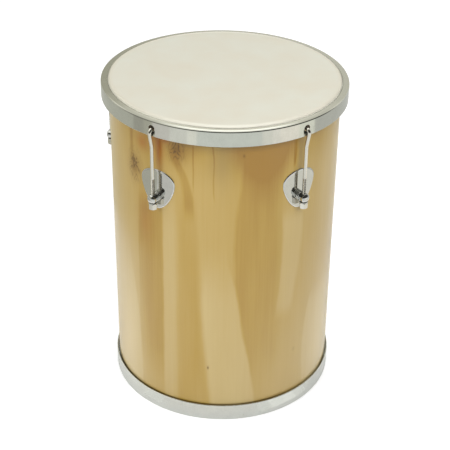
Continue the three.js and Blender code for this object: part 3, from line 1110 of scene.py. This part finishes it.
def bump(tree, shader, height, distance):
    """Relief: a height from 0 to 1 over a distance in metres."""
    node = add_node(tree, "ShaderNodeBump", {"Height": height, "Distance": distance})
    tree.links.new(node.outputs[0], shader.inputs["Normal"])


# %% [markdown]
# ## Plated steel
# Chrome has hardly any colour of its own: what shows is the room, a little blurred. So the recipe is a pale
# metal whose roughness wanders in clouds and fine upright wiping marks, over a very slight waviness that
# bends what the metal mirrors. Each part of the drum is plated and polished differently, so each has its
# own values.

# %% Chrome
CLOUD_SCALE = 60
WIPE_SCALE = 900
WIPE_LENGTH = 0.25
WAVE_SCALE = 45
CLOUD_PART = 0.6
WIPE_PART = 0.4
DULL_FROM = 0.38
DULL_TO = 0.68
TINT_FROM = 0.35
TINT_TO = 0.75
DARKER = 0.9


def chrome(name, tint, smooth, rough, wave, painted_light=None):
    """Plated steel: a pale metal whose roughness wanders a little, with faint waves and fine wiping marks.

    The last argument, where given, is a function that lays a piece's painted light and shade over the
    plating's colour.
    """
    made, tree, shader, where = new_finish(name, Metallic=1.0)
    cloud = noise(tree, where, CLOUD_SCALE, detail=4, roughness=0.6)
    wipes = noise(tree, where, WIPE_SCALE, detail=3, roughness=0.7, length=WIPE_LENGTH)
    stain = calc(tree, "MULTIPLY_ADD", cloud, CLOUD_PART, times(tree, wipes, WIPE_PART))
    tree.links.new(spread(tree, stain, smooth, rough, DULL_FROM, DULL_TO), shader.inputs["Roughness"])
    colour = ramp(tree, stain, [(TINT_FROM, tint), (TINT_TO, tuple(DARKER * c for c in tint))])
    # A piece's painted light and shade goes over the plating's colour.
    if painted_light:
        colour = painted_light(tree, where, colour)
    tree.links.new(colour, shader.inputs["Base Color"])
    bump(tree, shader, noise(tree, where, WAVE_SCALE, detail=1), wave)
    return made


# %% [markdown]
# ## Painted light and shade on the hoop and the hooks
# The flange is painted a little darker all round as shade, with a painted highlight where it turns down in
# front. Just below that bend a thin dark line is painted as a dark reflection, and each rod is painted dark
# as shade on the side that faces the hoop, where it passes close to it. Every mark is laid by its distance
# from the drum's axis, its height and how far forward it lies, so it stays put however the drum is seen.

# %% Painted light and shade on the hoop and the hooks
# A thin dark line painted just below the flange's bend in front stands for a dark reflection.
DARK_BEND_REFLECTION = paint(64, 64, 54)
DARK_BEND_REFLECTION_SHARE = 0.8
DARK_BEND_REFLECTION_FRONT = 0.1
DARK_BEND_REFLECTION_FADE = 0.02
DARK_BEND_REFLECTION_HEIGHT = hoop_high.z - 1.1 * MM
DARK_BEND_REFLECTION_HALF = 0.6 * MM
# The flange is painted darker as shade, and brighter in front where it turns down as a painted highlight.
FLANGE_SHADE = paint(194, 193, 181)
FLANGE_HIGHLIGHT = paint(254, 254, 244)
FLANGE_LOW = hoop_high.z - 0.65 * MM
FLANGE_LOW_SOFT = 0.1 * MM
FLANGE_TURN = hoop_radius - 4.9 * MM
FLANGE_TURN_SOFT = 0.5 * MM
BRIGHT_FRONT = 0.142
BRIGHT_FADE = 0.012
# The rod's side that faces the hoop is painted dark as shade.
ROD_SHADE = paint(52, 52, 46)
ROD_SHADE_LOW = hoop_low.z + 2 * MM
ROD_SHADE_LOW_SOFT = 2 * MM
ROD_SHADE_HIGH = hoop_high.z - HOOK_HOLE_DROP - 3.5 * MM
ROD_SHADE_HIGH_SOFT = 1 * MM
ROD_SHADE_OUT = hook.outer - ROD_RADIUS
ROD_SHADE_OUT_SOFT = 0.5 * MM


def from_axis(tree, parts):
    """The distance from the drum's axis: the root of x squared plus y squared."""
    square = calc(tree, "MULTIPLY_ADD", parts["X"], parts["X"], times(tree, parts["Y"], parts["Y"]))
    return calc(tree, "SQRT", square)


def hoop_painted_light(tree, where, colour):
    """Painted shade on the flange, a painted highlight in front where it turns down, and a painted dark
    reflection just below that bend.
    """
    parts = xyz(tree, where)
    forward = times(tree, parts["Y"], -1.0)
    front = step_past(tree, forward, DARK_BEND_REFLECTION_FRONT, DARK_BEND_REFLECTION_FADE)
    bright = step_past(tree, forward, BRIGHT_FRONT, BRIGHT_FADE)
    top = step_past(tree, parts["Z"], FLANGE_LOW, FLANGE_LOW_SOFT)
    turn = step_past(tree, from_axis(tree, parts), FLANGE_TURN, FLANGE_TURN_SOFT)
    colour = mix(tree, top, colour, FLANGE_SHADE)
    colour = mix(tree, times(tree, top, turn, bright), colour, FLANGE_HIGHLIGHT)
    away = calc(tree, "ABSOLUTE", calc(tree, "SUBTRACT", parts["Z"], DARK_BEND_REFLECTION_HEIGHT))
    line = step_past(tree, DARK_BEND_REFLECTION_HALF, away, DARK_BEND_REFLECTION_HALF)
    return mix(tree, times(tree, line, front, DARK_BEND_REFLECTION_SHARE), colour, DARK_BEND_REFLECTION)


def hook_painted_shade(tree, where, colour):
    """The side of the rod that faces the hoop is painted dark as shade between the hoop's lower edge and its
    hole.
    """
    parts = xyz(tree, where)
    inner = step_past(tree, ROD_SHADE_OUT, from_axis(tree, parts), ROD_SHADE_OUT_SOFT)
    above = step_past(tree, parts["Z"], ROD_SHADE_LOW, ROD_SHADE_LOW_SOFT)
    below = step_past(tree, ROD_SHADE_HIGH, parts["Z"], ROD_SHADE_HIGH_SOFT)
    return mix(tree, times(tree, inner, times(tree, above, below)), colour, ROD_SHADE)


# %% Plated and plain metals
# The hoop and the hooks also take painted light and shade.
METALS = [
    ("hoop_chrome", (213, 213, 203), 0.07, 0.16, 0.1, hoop_painted_light),
    ("band_steel", (218, 220, 214), 0.16, 0.3, 0.08, None),
    ("lug_chrome", (212, 212, 208), 0.04, 0.1, 0.1, None),
    ("hook_chrome", (230, 226, 216), 0.08, 0.2, 0.02, hook_painted_shade),
    ("nut_chrome", (230, 227, 219), 0.08, 0.2, 0.02, None),
    ("washer_steel", (224, 223, 217), 0.16, 0.3, 0.01, None),
    ("inner_zinc", (178, 180, 178), 0.35, 0.5, 0.02, None),
    ("flesh_aluminium", (188, 188, 186), 0.32, 0.45, 0.02, None),
]
finishes = {name: chrome(name, linear(*tint), smooth, rough, wave * MM, painted_light)
            for name, tint, smooth, rough, wave, painted_light in METALS}
print("metals", *finishes)

# %% [markdown]
# ## Film
# The head is milky polyester, a little clouded. Where it is drawn down over the edge, a painted highlight
# makes it paler in front, a painted shadow makes its foot beside the hoop darker there, and painted light
# makes the foot paler at the sides. It lets almost no light through, so an opaque surface with a soft gloss
# stands for it, and a very fine relief breaks the gloss up.

# %% Film
FILM_CLOUD_SCALE = 18
FILM_CLOUDS = [(0.3, linear(215, 209, 191)), (0.7, linear(217, 216, 202))]
FILM_GRAIN_SCALE = 700
FILM_GRAIN = 0.02 * MM
FILM_DULL = (0.36, 0.5)
COLLAR_START = 148 * MM
COLLAR_SOFT = 2.5 * MM
COLLAR_SIDE = paint(214, 209, 192)
# The collar is painted paler in front as a highlight.
COLLAR_FRONT_HIGHLIGHT = paint(238, 235, 221)
# The collar's foot is painted darker in front as shadow, and paler at the sides as light.
FOOT_START = hoop_high.z + 0.5 * MM
FOOT_SOFT = 0.5 * MM
FOOT_SIDE_LIGHT = paint(240, 238, 224)
FOOT_FRONT_SHADOW = paint(184, 181, 166)
FRONT_LIGHT_POWER = 3.0


def film():
    """Milky film: faint clouds, a painted highlight in front where it is drawn down over the edge, painted
    shadow and light at its foot, and softly glossy.

    How far a place is to the front or back is (y / R) squared, raised to a power that keeps it near them.
    """
    made, tree, shader, where = new_finish("head_film")
    cloud = noise(tree, where, FILM_CLOUD_SCALE, detail=5, roughness=0.55)
    skin = ramp(tree, cloud, FILM_CLOUDS)
    parts = xyz(tree, where)
    collar = step_past(tree, from_axis(tree, parts), COLLAR_START, COLLAR_SOFT)
    front = calc(tree, "DIVIDE", times(tree, parts["Y"], parts["Y"]), film_radius ** 2, clamp=True)
    front = calc(tree, "POWER", front, FRONT_LIGHT_POWER)
    # A painted highlight on the collar in front, then painted shadow and light at its foot.
    edge = mix(tree, collar, skin, mix(tree, front, COLLAR_SIDE, COLLAR_FRONT_HIGHLIGHT))
    foot = step_past(tree, FOOT_START, parts["Z"], FOOT_SOFT)
    edge = mix(tree, foot, edge, mix(tree, front, FOOT_SIDE_LIGHT, FOOT_FRONT_SHADOW))
    tree.links.new(edge, shader.inputs["Base Color"])
    tree.links.new(spread(tree, cloud, *FILM_DULL), shader.inputs["Roughness"])
    bump(tree, shader, noise(tree, where, FILM_GRAIN_SCALE, detail=3), FILM_GRAIN)
    return made


finishes["head_film"] = film()

# %% [markdown]
# ## Wood
# The shell is wrapped in veneer peeled from a log, so its figure is large and soft: pale hearts with one
# sharp side, darker flames between them, a few resin lines and three knots. Noise alone never gives such a
# figure. Each patch is therefore laid one by one between two lines that run up the shell, and noise only
# roughens the lines and adds the fine grain.

# %% Places on the shell
FIGURE_TURN = 0.48
FIGURE_TOP = 500.0
WAVER = 1.6
WAVER_SCALE = 60
WAVER_LENGTH = 0.35
TURN = 360.0


def shell_places(tree, where):
    """The angle from the front in degrees and the height in millimetres, with slightly wavering lines."""
    parts = xyz(tree, where)
    turn = calc(tree, "ARCTAN2", parts["X"], times(tree, parts["Y"], -1.0))
    degrees = times(tree, turn, 180 / math.pi)
    waver = noise(tree, where, WAVER_SCALE, detail=3, length=WAVER_LENGTH)
    shift = calc(tree, "MULTIPLY_ADD", waver, WAVER, FIGURE_TURN - WAVER / 2)
    return calc(tree, "ADD", degrees, shift), times(tree, parts["Z"], 1 / MM)


def line_up(tree, height, spots):
    """The angle of a line that runs up the shell through (height, angle) spots."""
    node = add_node(tree, "ShaderNodeFloatCurve", {"Value": calc(tree, "DIVIDE", height, FIGURE_TOP)})
    points = node.mapping.curves[0].points
    placed = sorted((z / FIGURE_TOP, angle / TURN + 0.5) for z, angle in spots)
    points[0].location = placed[0]
    points[-1].location = placed[-1]
    for place in placed[1:-1]:
        points.new(*place)
    node.mapping.update()
    return calc(tree, "MULTIPLY_ADD", node.outputs[0], TURN, -TURN / 2)


def patch(tree, places, left, right, low, high, soft, fade):
    """1 between two lines and two heights; soft is each side's blur in degrees, fade the ends' in mm."""
    degrees, height = places
    sides = times(tree, step_past(tree, degrees, line_up(tree, height, left), soft[0]),
                  step_past(tree, line_up(tree, height, right), degrees, soft[1]))
    ends = times(tree, step_past(tree, height, float(low), fade), step_past(tree, float(high), height, fade))
    return times(tree, sides, ends)


def spot(tree, places, at, size):
    """A round spot that fades as exp(-d * d), with d the distance from its middle over its size; also d."""
    degrees, height = places
    across = calc(tree, "DIVIDE", calc(tree, "SUBTRACT", degrees, float(at[0])), float(size[0]))
    up = calc(tree, "DIVIDE", calc(tree, "SUBTRACT", height, float(at[1])), float(size[1]))
    square = calc(tree, "MULTIPLY_ADD", across, across, times(tree, up, up))
    return calc(tree, "EXPONENT", times(tree, square, -1.0)), calc(tree, "SQRT", square)


# %% Figure of the veneer: name, left and right line as (height, angle), low, high, blurs, fade, darker
VENEER_TOP = 470
HEART_LEFT = [(300, -10), (250, -12), (215, -13), (150, -12), (100, -10.5), (20, -8)]
HEART_RIGHT = [(300, -2), (250, 1), (215, 4), (180, 6.3), (140, 8), (100, 11), (60, 13.5), (20, 15)]
FIGURE = [
    ("pale heart in front", HEART_LEFT, HEART_RIGHT, -40, 236, (2.2, 1), 60, -0.3),
    ("flame left of the heart", [(360, -25), (20, -25)], [(360, -16)] + HEART_LEFT[2:], -40, 350, (2.6, 1.5),
     40, 0.16),
    ("core of that flame", [(260, -20), (60, -20)], [(260, -15), (60, -12)], 70, 280, (2.5, 2), 40, 0.12),
    ("pale stripe below the left lug", [(330, -33), (20, -33.5)], [(330, -25), (200, -25.5), (20, -25.5)],
     -40, 335, (1.1, 2.6), 60, -0.22),
    ("golden band below the left lug", [(340, -48), (200, -49.5), (100, -49), (50, -46.5), (20, -42)],
     [(340, -33), (20, -33.5)], 70, 345, (0.9, 0.7), 40, 0.26),
    ("pale left foot", [(200, -110), (20, -110)], [(200, -54), (150, -51), (100, -49.5), (20, -49)], -40, 215,
     (6, 1), 50, -0.26),
    ("flame right of the heart", [(400, 7)] + HEART_RIGHT[2:], [(400, 27), (20, 27)], 60, 400, (1.2, 4), 60,
     0.22),
    ("pale patch below the right lug", [(320, 27), (250, 28), (160, 25)],
     [(320, 40), (250, 39), (200, 36.5), (160, 34)], 165, 318, (1, 1.6), 16, -0.24),
    ("pale right foot", [(180, 50), (150, 46.5), (20, 46)], [(180, 110), (20, 110)], -40, 172, (0.9, 6), 22,
     -0.26),
    ("brown field below the hoop", [(440, 4), (340, 9)], [(440, 33), (340, 30)], 372, 470, (9, 7), 50, 0.36),
    # The next patch, a darker edge just under the hoop, is painted shade.
    ("painted shade under the hoop", [(440, -60), (380, -60)], [(440, 60), (380, 60)], 396, 470, (8, 8), 36,
     0.28),
    ("arch beside the left lug", [(425, -31), (400, -27.5), (370, -23), (330, -21.5)],
     [(425, -28), (400, -23.5), (370, -18.5), (330, -16.5)], 325, 412, (1.4, 0.9), 18, 0.26),
    ("pale heart at the back", [(430, 168), (250, 160), (20, 150)], [(430, 174), (250, 172), (20, 170)], 40,
     400, (0.6, 1.5), 30, -0.3),
    ("flame at the back left", [(430, -168), (250, -165), (20, -160)], [(430, -150), (250, -148), (20, -140)],
     -40, 360, (1.5, 0.8), 50, 0.25),
    ("pale stripe at the right", [(430, 92), (250, 95), (20, 96)], [(430, 104), (250, 110), (20, 112)], 60,
     470, (1.5, 0.7), 50, -0.25),
    ("golden band at the left", [(430, -108), (250, -112), (20, -118)], [(430, -96), (250, -97), (20, -95)],
     120, 470, (1, 1.5), 50, 0.24),
]

# %% Resin lines: the line, half its width, its lower end and how much darker it is
VEIN_FADE = 12
RESIN_LINES = [
    ([(440, -16.8), (370, -16.5)], 0.35, 362, 0.3),
    ([(440, -8.2), (400, -7), (370, -7.2), (340, -6.2)], 0.35, 352, 0.3),
    ([(440, 33.2), (380, 33)], 0.6, 388, 0.5),
    ([(440, -52), (370, -52.5)], 1.1, 375, 0.22),
]

# %% Round spots: the middle as (angle, height), the size as (degrees, mm) and the strength
STAINS = [
    ((-34.3, 414), (2.3, 32), 0.9),
    ((-38.5, 421), (1.6, 12), 0.7),
    ((-44.5, 410), (3.6, 11), 0.6),
    ((-44, 300), (4.5, 34), 0.3),
    ((-31, 425), (2.4, 6), 0.8),
]
HALOES = [
    ((-50.5, 372), (4.2, 18), 0.7),
    ((-24.6, 413), (4.4, 16), 0.95),
    ((-19, 420), (6, 12), 0.4),
    ((152, 300), (4.5, 18), 0.6),
]
# The spots just below the hoop in front are painted shade.
UNDER_HOOP_SHADES = [((-3, 408), (8, 30), 0.25), ((-3, 408), (4, 60), 0.12)]
# Pale soft spots low on the sides are a painted reflection of the floor in the varnish.
FLOOR_SHEEN_SPOTS = [
    ((-60, 90), (12, 130), 0.55),
    ((64, 80), (16, 110), 0.75),
    ((-82, 230), (12, 230), 0.6),
    ((82, 230), (12, 230), 0.5),
    ((28, 60), (20, 90), 0.17),
]
KNOTS = [((-50.5, 371), (3.4, 17), 1.0), ((-25.2, 415), (3.6, 14), 1.0), ((152, 300), (3.5, 16), 1.0)]
PINHOLES = [((-9.4, 87), (0.4, 2.4), 0.9), ((7, 412), (0.6, 2.6), 0.6), ((38, 95), (0.8, 3.5), 0.15)]

# %% Tones from pale to dark, and the colours of the spots
TONES = [
    (0.0, linear(208, 187, 130)),
    (0.25, linear(199, 174, 114)),
    (0.5, linear(191, 161, 90)),
    (0.75, linear(182, 149, 66)),
    (1.0, linear(160, 119, 36)),
]
# This pale colour is a painted reflection of the floor in the varnish.
FLOOR_SHEEN_COLOUR = paint(233, 213, 166)
STAIN_COLOUR = paint(166, 94, 6)
HALO_COLOUR = paint(138, 97, 4)
# This colour is painted shade under the hoop.
UNDER_HOOP_SHADE_COLOUR = paint(118, 102, 74)
KNOT_COLOUR = paint(102, 70, 0)

# %% Knots
KNOT_SCALE = 120
KNOT_LENGTH = 0.5
KNOT_WANDER = 17.0
KNOT_RINGS = 2.4
KNOT_POWER = 6.0
KNOT_LINES = 1.35
KNOT_CORE = 0.3
CORE_EDGE = 0.72
CORE_SOFT = 0.15


def knot(tree, where, places, at, size):
    """Dark scrawled lines |cos(2.4 d + 17 n)| ^ 6, with d the distance from the middle and n a noise."""
    shade, far = spot(tree, places, at, size)
    wander = noise(tree, where, KNOT_SCALE, detail=2, distortion=0.6, length=KNOT_LENGTH)
    phase = calc(tree, "MULTIPLY_ADD", wander, KNOT_WANDER, times(tree, far, KNOT_RINGS))
    line = calc(tree, "POWER", calc(tree, "ABSOLUTE", calc(tree, "COSINE", phase)), KNOT_POWER)
    core = times(tree, step_past(tree, shade, CORE_EDGE, CORE_SOFT), KNOT_CORE)
    return calc(tree, "MULTIPLY", shade, calc(tree, "MULTIPLY_ADD", line, KNOT_LINES, core), clamp=True)


# %% Tone of the veneer
BROAD_SCALE = 16
BROAD_LENGTH = 0.15
BROAD_PART = 0.5
TONE_START = 0.28
GRAIN_SCALE = 420
GRAIN_LENGTH = 0.02
GRAIN_PART = 0.15


def veneer_tone(tree, places, broad, grain):
    """How dark the wood is, from 0 to 1: soft clouds and grain, with each patch and resin line added."""
    tone = calc(tree, "MULTIPLY_ADD", broad, BROAD_PART, TONE_START)
    tone = calc(tree, "ADD", tone, calc(tree, "MULTIPLY_ADD", grain, GRAIN_PART, -GRAIN_PART / 2))
    for _, left, right, low, high, soft, fade, darker in FIGURE:
        area = patch(tree, places, left, right, low, high, soft, fade)
        tone = calc(tree, "MULTIPLY_ADD", area, darker, tone)
    for spots, width, low, darker in RESIN_LINES:
        left = [(height, angle - width) for height, angle in spots]
        right = [(height, angle + width) for height, angle in spots]
        vein = patch(tree, places, left, right, low, VENEER_TOP, (width, width), VEIN_FADE)
        tone = calc(tree, "MULTIPLY_ADD", vein, darker, tone)
    return tone


# %% Painted shade where the hoop and the band cover the wood
COVER_SHADE_COLOUR = paint(52, 34, 16)
HOOP_SHADE_START = hoop_low.z / MM + 1
HOOP_SHADE_SOFT = 3.0
HOOP_SHADE = 0.85
BAND_SEAM = band_high.z / MM + 0.5
BAND_SEAM_SOFT = 0.5
SEAM_SHADE = 0.7
SEAM_LESS = -0.4
SEAM_NARROWS = 32.0
SEAM_NARROWS_SOFT = 14.0


def cover_shade(tree, places):
    """How dark the painted shade is behind the hoop and in the slit above the band, which fades to the right.
    """
    angle, height = places
    hidden = step_past(tree, height, HOOP_SHADE_START, HOOP_SHADE_SOFT)
    seam = step_past(tree, BAND_SEAM, height, BAND_SEAM_SOFT)
    narrow = step_past(tree, angle, SEAM_NARROWS, SEAM_NARROWS_SOFT)
    narrow = calc(tree, "MULTIPLY_ADD", narrow, SEAM_LESS, SEAM_SHADE)
    return calc(tree, "MAXIMUM", times(tree, hidden, HOOP_SHADE), times(tree, seam, narrow))


# %% Varnished wood
VARNISH = {"Coat Weight": 0.6, "Coat Roughness": 0.14}
WOOD_DULL = (0.36, 0.55)
GRAIN_RELIEF = 0.03 * MM
# The first list is a painted floor reflection, and the second painted shade under the hoop.
SPOTS = [
    (FLOOR_SHEEN_SPOTS, FLOOR_SHEEN_COLOUR), (UNDER_HOOP_SHADES, UNDER_HOOP_SHADE_COLOUR), (STAINS, STAIN_COLOUR), (HALOES, HALO_COLOUR),
    (KNOTS, KNOT_COLOUR), (PINHOLES, KNOT_COLOUR),
]


def wood():
    """Varnished veneer: its tone gives a colour, then come a painted floor reflection, painted shade under
    the hoop, stains, knots and pinholes.
    """
    made, tree, shader, where = new_finish("shell_wood", **VARNISH)
    places = shell_places(tree, where)
    broad = noise(tree, where, BROAD_SCALE, detail=3, length=BROAD_LENGTH)
    grain = noise(tree, where, GRAIN_SCALE, detail=4, roughness=0.65, length=GRAIN_LENGTH)
    colour = ramp(tree, veneer_tone(tree, places, broad, grain), TONES)
    for spots, spot_colour in SPOTS:
        for at, size, strength in spots:
            if spots is KNOTS:
                shade = knot(tree, where, places, at, size)
            else:
                shade = spot(tree, places, at, size)[0]
            colour = mix(tree, times(tree, shade, strength), colour, spot_colour)
    # Painted shade behind the hoop and in the slit above the band.
    colour = mix(tree, cover_shade(tree, places), colour, COVER_SHADE_COLOUR)
    tree.links.new(colour, shader.inputs["Base Color"])
    tree.links.new(spread(tree, grain, *WOOD_DULL), shader.inputs["Roughness"])
    bump(tree, shader, grain, GRAIN_RELIEF)
    return made


finishes["shell_wood"] = wood()
print("wood", len(finishes["shell_wood"].node_tree.nodes), "nodes")

# %% [markdown]
# ## Dressing
# Each surface takes its finish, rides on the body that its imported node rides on, and hides that node. The
# hooks and the tension nuts move, each on a body of its own. All the rest is the drum itself.

# %% Dress each piece
DRESSING = [
    (shell_skin, "shell", "shell_wood"),
    (band_ring, "bottom_band", "band_steel"),
    (head_sheet, "drum_head", "head_film"),
    (flesh_ring, "flesh_hoop", "flesh_aluminium"),
    (hoop_rim, "counterhoop", "hoop_chrome"),
]
LUG_DRESSING = [
    (plates, "lug_plate", "lug_chrome", "drum"),
    (posts, "lug_post", "lug_chrome", "drum"),
    (inner_washers, "post_washer", "inner_zinc", "drum"),
    (inner_nuts, "post_nut", "inner_zinc", "drum"),
    (hooks, "tension_hook", "hook_chrome", "hook"),
    (washers, "tension_washer", "washer_steel", "drum"),
    (nuts, "tension_nut", "nut_chrome", "nut"),
]


def dress(piece, node, finish, body):
    """Gives a piece its finish and body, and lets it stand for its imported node."""
    piece.data.materials.append(finishes[finish])
    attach(piece, body)
    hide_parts(node)


for piece, node, finish in DRESSING:
    dress(piece, node, finish, "drum")
for pieces, node, finish, body in LUG_DRESSING:
    for number, piece in enumerate(pieces, 1):
        dress(piece, f"{node}_{number}", finish, body if body == "drum" else f"{body}_{number}")
print("dressed", len(DRESSING) + len(LUG_DRESSING) * LUG_COUNT, "pieces")

# %% [markdown]
# ## Floor
# The drum stands on a plain pale floor. The camera and bright metal see the floor as nearly white, while
# the drum's own soft shadow stays on it.

# %% Floor
FLOOR_SIZE = 30
FLOOR_PALE = (0.8, 0.8, 0.8, 1)
CAMERA_GLOW = 0.45
METAL_GLOW = 0.15


def floor():
    """A wide square under the drum; the camera and bright metal see it a little brighter than it is lit."""
    half = FLOOR_SIZE / 2
    mesh = bpy.data.meshes.new("floor")
    mesh.from_pydata([(-half, -half, 0), (half, -half, 0), (half, half, 0), (-half, half, 0)], [],
                     [(0, 1, 2, 3)])
    made = bpy.data.objects.new("floor", mesh)
    bpy.context.scene.collection.objects.link(made)
    finish = bpy.data.materials.new("floor_paint")
    tree = empty_tree(finish)
    matt = add_node(tree, "ShaderNodeBsdfDiffuse", {"Color": FLOOR_PALE})
    path = add_node(tree, "ShaderNodeLightPath")
    in_metal = calc(tree, "MAXIMUM", path.outputs["Is Glossy Ray"], path.outputs["Is Transmission Ray"])
    strength = calc(tree, "MULTIPLY_ADD", path.outputs["Is Camera Ray"], CAMERA_GLOW,
                    times(tree, in_metal, METAL_GLOW))
    glow = add_node(tree, "ShaderNodeEmission", {"Strength": strength})
    send(tree, add_node(tree, "ShaderNodeAddShader", {0: matt.outputs[0], 1: glow.outputs[0]}))
    mesh.materials.append(finish)


floor()
print("floor", FLOOR_SIZE, "metres")

# %% [markdown]
# ## Cards
# Bright metal shows its surroundings, so the surroundings have to be right. From the camera the hoop, the
# plates and the band mirror the floor in front of the drum and beside it. In a studio, grey and white cards
# would lie there. Here each card is a flat piece of a ring that only bright metal sees: far ones for the
# hoop, near ones for the plates and close ones for the band. They cast no shadow and no light.

# %% Cards: name, first and last angle from the front, inner and outer radius, shade
CARD_HEIGHT = 0.001
CARD_STEPS = 25
FAR = (0.85, 4.0)
NEAR = (0.52, 0.85)
BOTH = (0.52, 4.0)
CLOSE = (0.163, 0.3)
CARDS = [
    ("card_left", -168, -88, FAR, (0.55, 0.56, 0.51)),
    ("card_dark_left", -88, -76, FAR, (0.44, 0.44, 0.4)),
    ("card_beside_dark", -76, -67, FAR, (0.51, 0.51, 0.45)),
    ("card_near_left", -67, -50, FAR, (0.73, 0.72, 0.71)),
    ("card_beside_strip", -50, -34, FAR, (0.83, 0.84, 0.82)),
    ("card_strip", -34, -26, BOTH, (0.96, 0.97, 0.93)),
    ("card_front", -26, 29, BOTH, (0.78, 0.82, 0.81)),
    ("card_near_right", 29, 38, FAR, (0.9, 0.9, 0.87)),
    ("card_beside_pale", 38, 45, FAR, (1.0, 0.98, 0.95)),
    ("card_pale", 45, 64, FAR, (1.05, 1.01, 0.96)),
    ("card_beside_right", 64, 81, FAR, (0.93, 0.95, 0.88)),
    ("card_right", 81, 150, FAR, (0.6, 0.61, 0.59)),
    ("card_plate_edge", -168, -66, NEAR, (0.53, 0.53, 0.45)),
    ("card_plate_left", -66, -34, NEAR, (0.7, 0.7, 0.66)),
    ("card_plate_right", 29, 150, NEAR, (0.86, 0.85, 0.77)),
    ("card_band_left", -50, -38, CLOSE, (0.93, 0.93, 0.9)),
    ("card_band_beside_right", 19, 26, CLOSE, (0.9, 0.9, 0.87)),
    ("card_band_right", 26, 43, CLOSE, (1.02, 1.02, 0.99)),
    ("card_band_past_right", 43, 51, CLOSE, (0.91, 0.91, 0.88)),
]


def card(name, start, end, reach, shade):
    """A flat piece of a ring between two angles from the front and two radii. Only bright metal sees it."""
    angles = np.radians(np.linspace(start, end, CARD_STEPS))
    round_way = np.stack([np.sin(angles), -np.cos(angles), 0 * angles], -1)
    rows = np.stack([reach[0] * round_way, reach[1] * round_way]) + (0, 0, CARD_HEIGHT)
    surface = Surface()
    surface.sheet(surface.add(rows), close_columns=False)
    made = surface.piece(name)
    finish = bpy.data.materials.new(name)
    tree = empty_tree(finish)
    send(tree, add_node(tree, "ShaderNodeEmission", {"Color": (*shade, 1), "Strength": 1.0}))
    made.data.materials.append(finish)
    made.visible_camera = False
    made.visible_diffuse = False
    made.visible_shadow = False


for name, start, end, reach, shade in CARDS:
    card(name, start, end, reach, shade)
print("cards", len(CARDS))

# %% [markdown]
# ## Lamps and sky
# Three soft area lamps light the drum: a key from the right in front, a weaker fill from the left, and a
# faint one from behind. The sky adds the rest, with a wide soft box overhead. Bright metal sees the sky's
# walls and the dark room behind the camera, which give the posts and nuts their dark edges.

# %% Lamps
DRUM_MIDDLE = (0, 0, 0.22)
LAMPS = [
    ("key", (0.9, -1.6, 1.8), 1.3, 31),
    ("fill", (-1.6, -1.4, 1.4), 1.5, 20),
    ("rim", (0.3, 2.0, 1.6), 1.6, 6),
]


def lamp(name, place, size, power):
    """A square area lamp that faces the middle of the drum. Bright metal doesn't show it."""
    data = bpy.data.lights.new(name, "AREA")
    data.size = size
    data.energy = power
    made = bpy.data.objects.new(name, data)
    made.location = place
    made.rotation_euler = (Vector(DRUM_MIDDLE) - Vector(place)).to_track_quat("-Z", "Y").to_euler()
    made.visible_glossy = False
    bpy.context.scene.collection.objects.link(made)


for name, place, size, power in LAMPS:
    lamp(name, place, size, power)
print("lamps", len(LAMPS))

# %% World
SOFTBOX = (0.82, 0.82, 0.82, 1)
SOFTBOX_IN_METAL = (1.25, 1.25, 1.18, 1)
SOFTBOX_EDGE = 0.495
SOFTBOX_SOFT = 0.045
SOFTBOX_LESS = 0.5
WALL_LEFT = (0.54, 0.54, 0.46, 1)
WALL_RIGHT = (0.8, 0.8, 0.74, 1)
WALL_SOFT = 0.15
ROOM = (0.05, 0.05, 0.045, 1)
ROOM_WAY = (0.5, -0.87, 0)
ROOM_EDGE = 0.2
WHITE = (1, 1, 1, 1)


def sky():
    """Grey walls and a darker room behind the camera, with a wide soft box overhead.

    The room is where the way's product with ROOM_WAY passes an edge. There the soft box starts higher up.
    """
    world = bpy.data.worlds.new("world")
    bpy.context.scene.world = world
    tree = empty_tree(world)
    way = add_node(tree, "ShaderNodeTexCoord").outputs["Generated"]
    parts = xyz(tree, way)
    facing = add_node(tree, "ShaderNodeVectorMath", {0: way, 1: ROOM_WAY}, operation="DOT_PRODUCT")
    in_room = step_past(tree, facing.outputs["Value"], ROOM_EDGE, ROOM_EDGE)
    walls = mix(tree, step_past(tree, parts["X"], 0.0, WALL_SOFT), WALL_LEFT, WALL_RIGHT)
    low = mix(tree, in_room, walls, ROOM)
    box_edge = calc(tree, "MULTIPLY_ADD", in_room, SOFTBOX_LESS, SOFTBOX_EDGE)
    overhead = step_past(tree, calc(tree, "SUBTRACT", parts["Z"], box_edge), 0.0, SOFTBOX_SOFT)
    path = add_node(tree, "ShaderNodeLightPath")
    softbox = mix(tree, path.outputs["Is Glossy Ray"], SOFTBOX, SOFTBOX_IN_METAL)
    shade = mix(tree, overhead, low, softbox)
    shade = mix(tree, path.outputs["Is Camera Ray"], shade, WHITE)
    glow = add_node(tree, "ShaderNodeBackground", {"Color": shade, "Strength": 1.0})
    send(tree, glow, "ShaderNodeOutputWorld")


sky()
bpy.context.scene.view_settings.view_transform = "Standard"
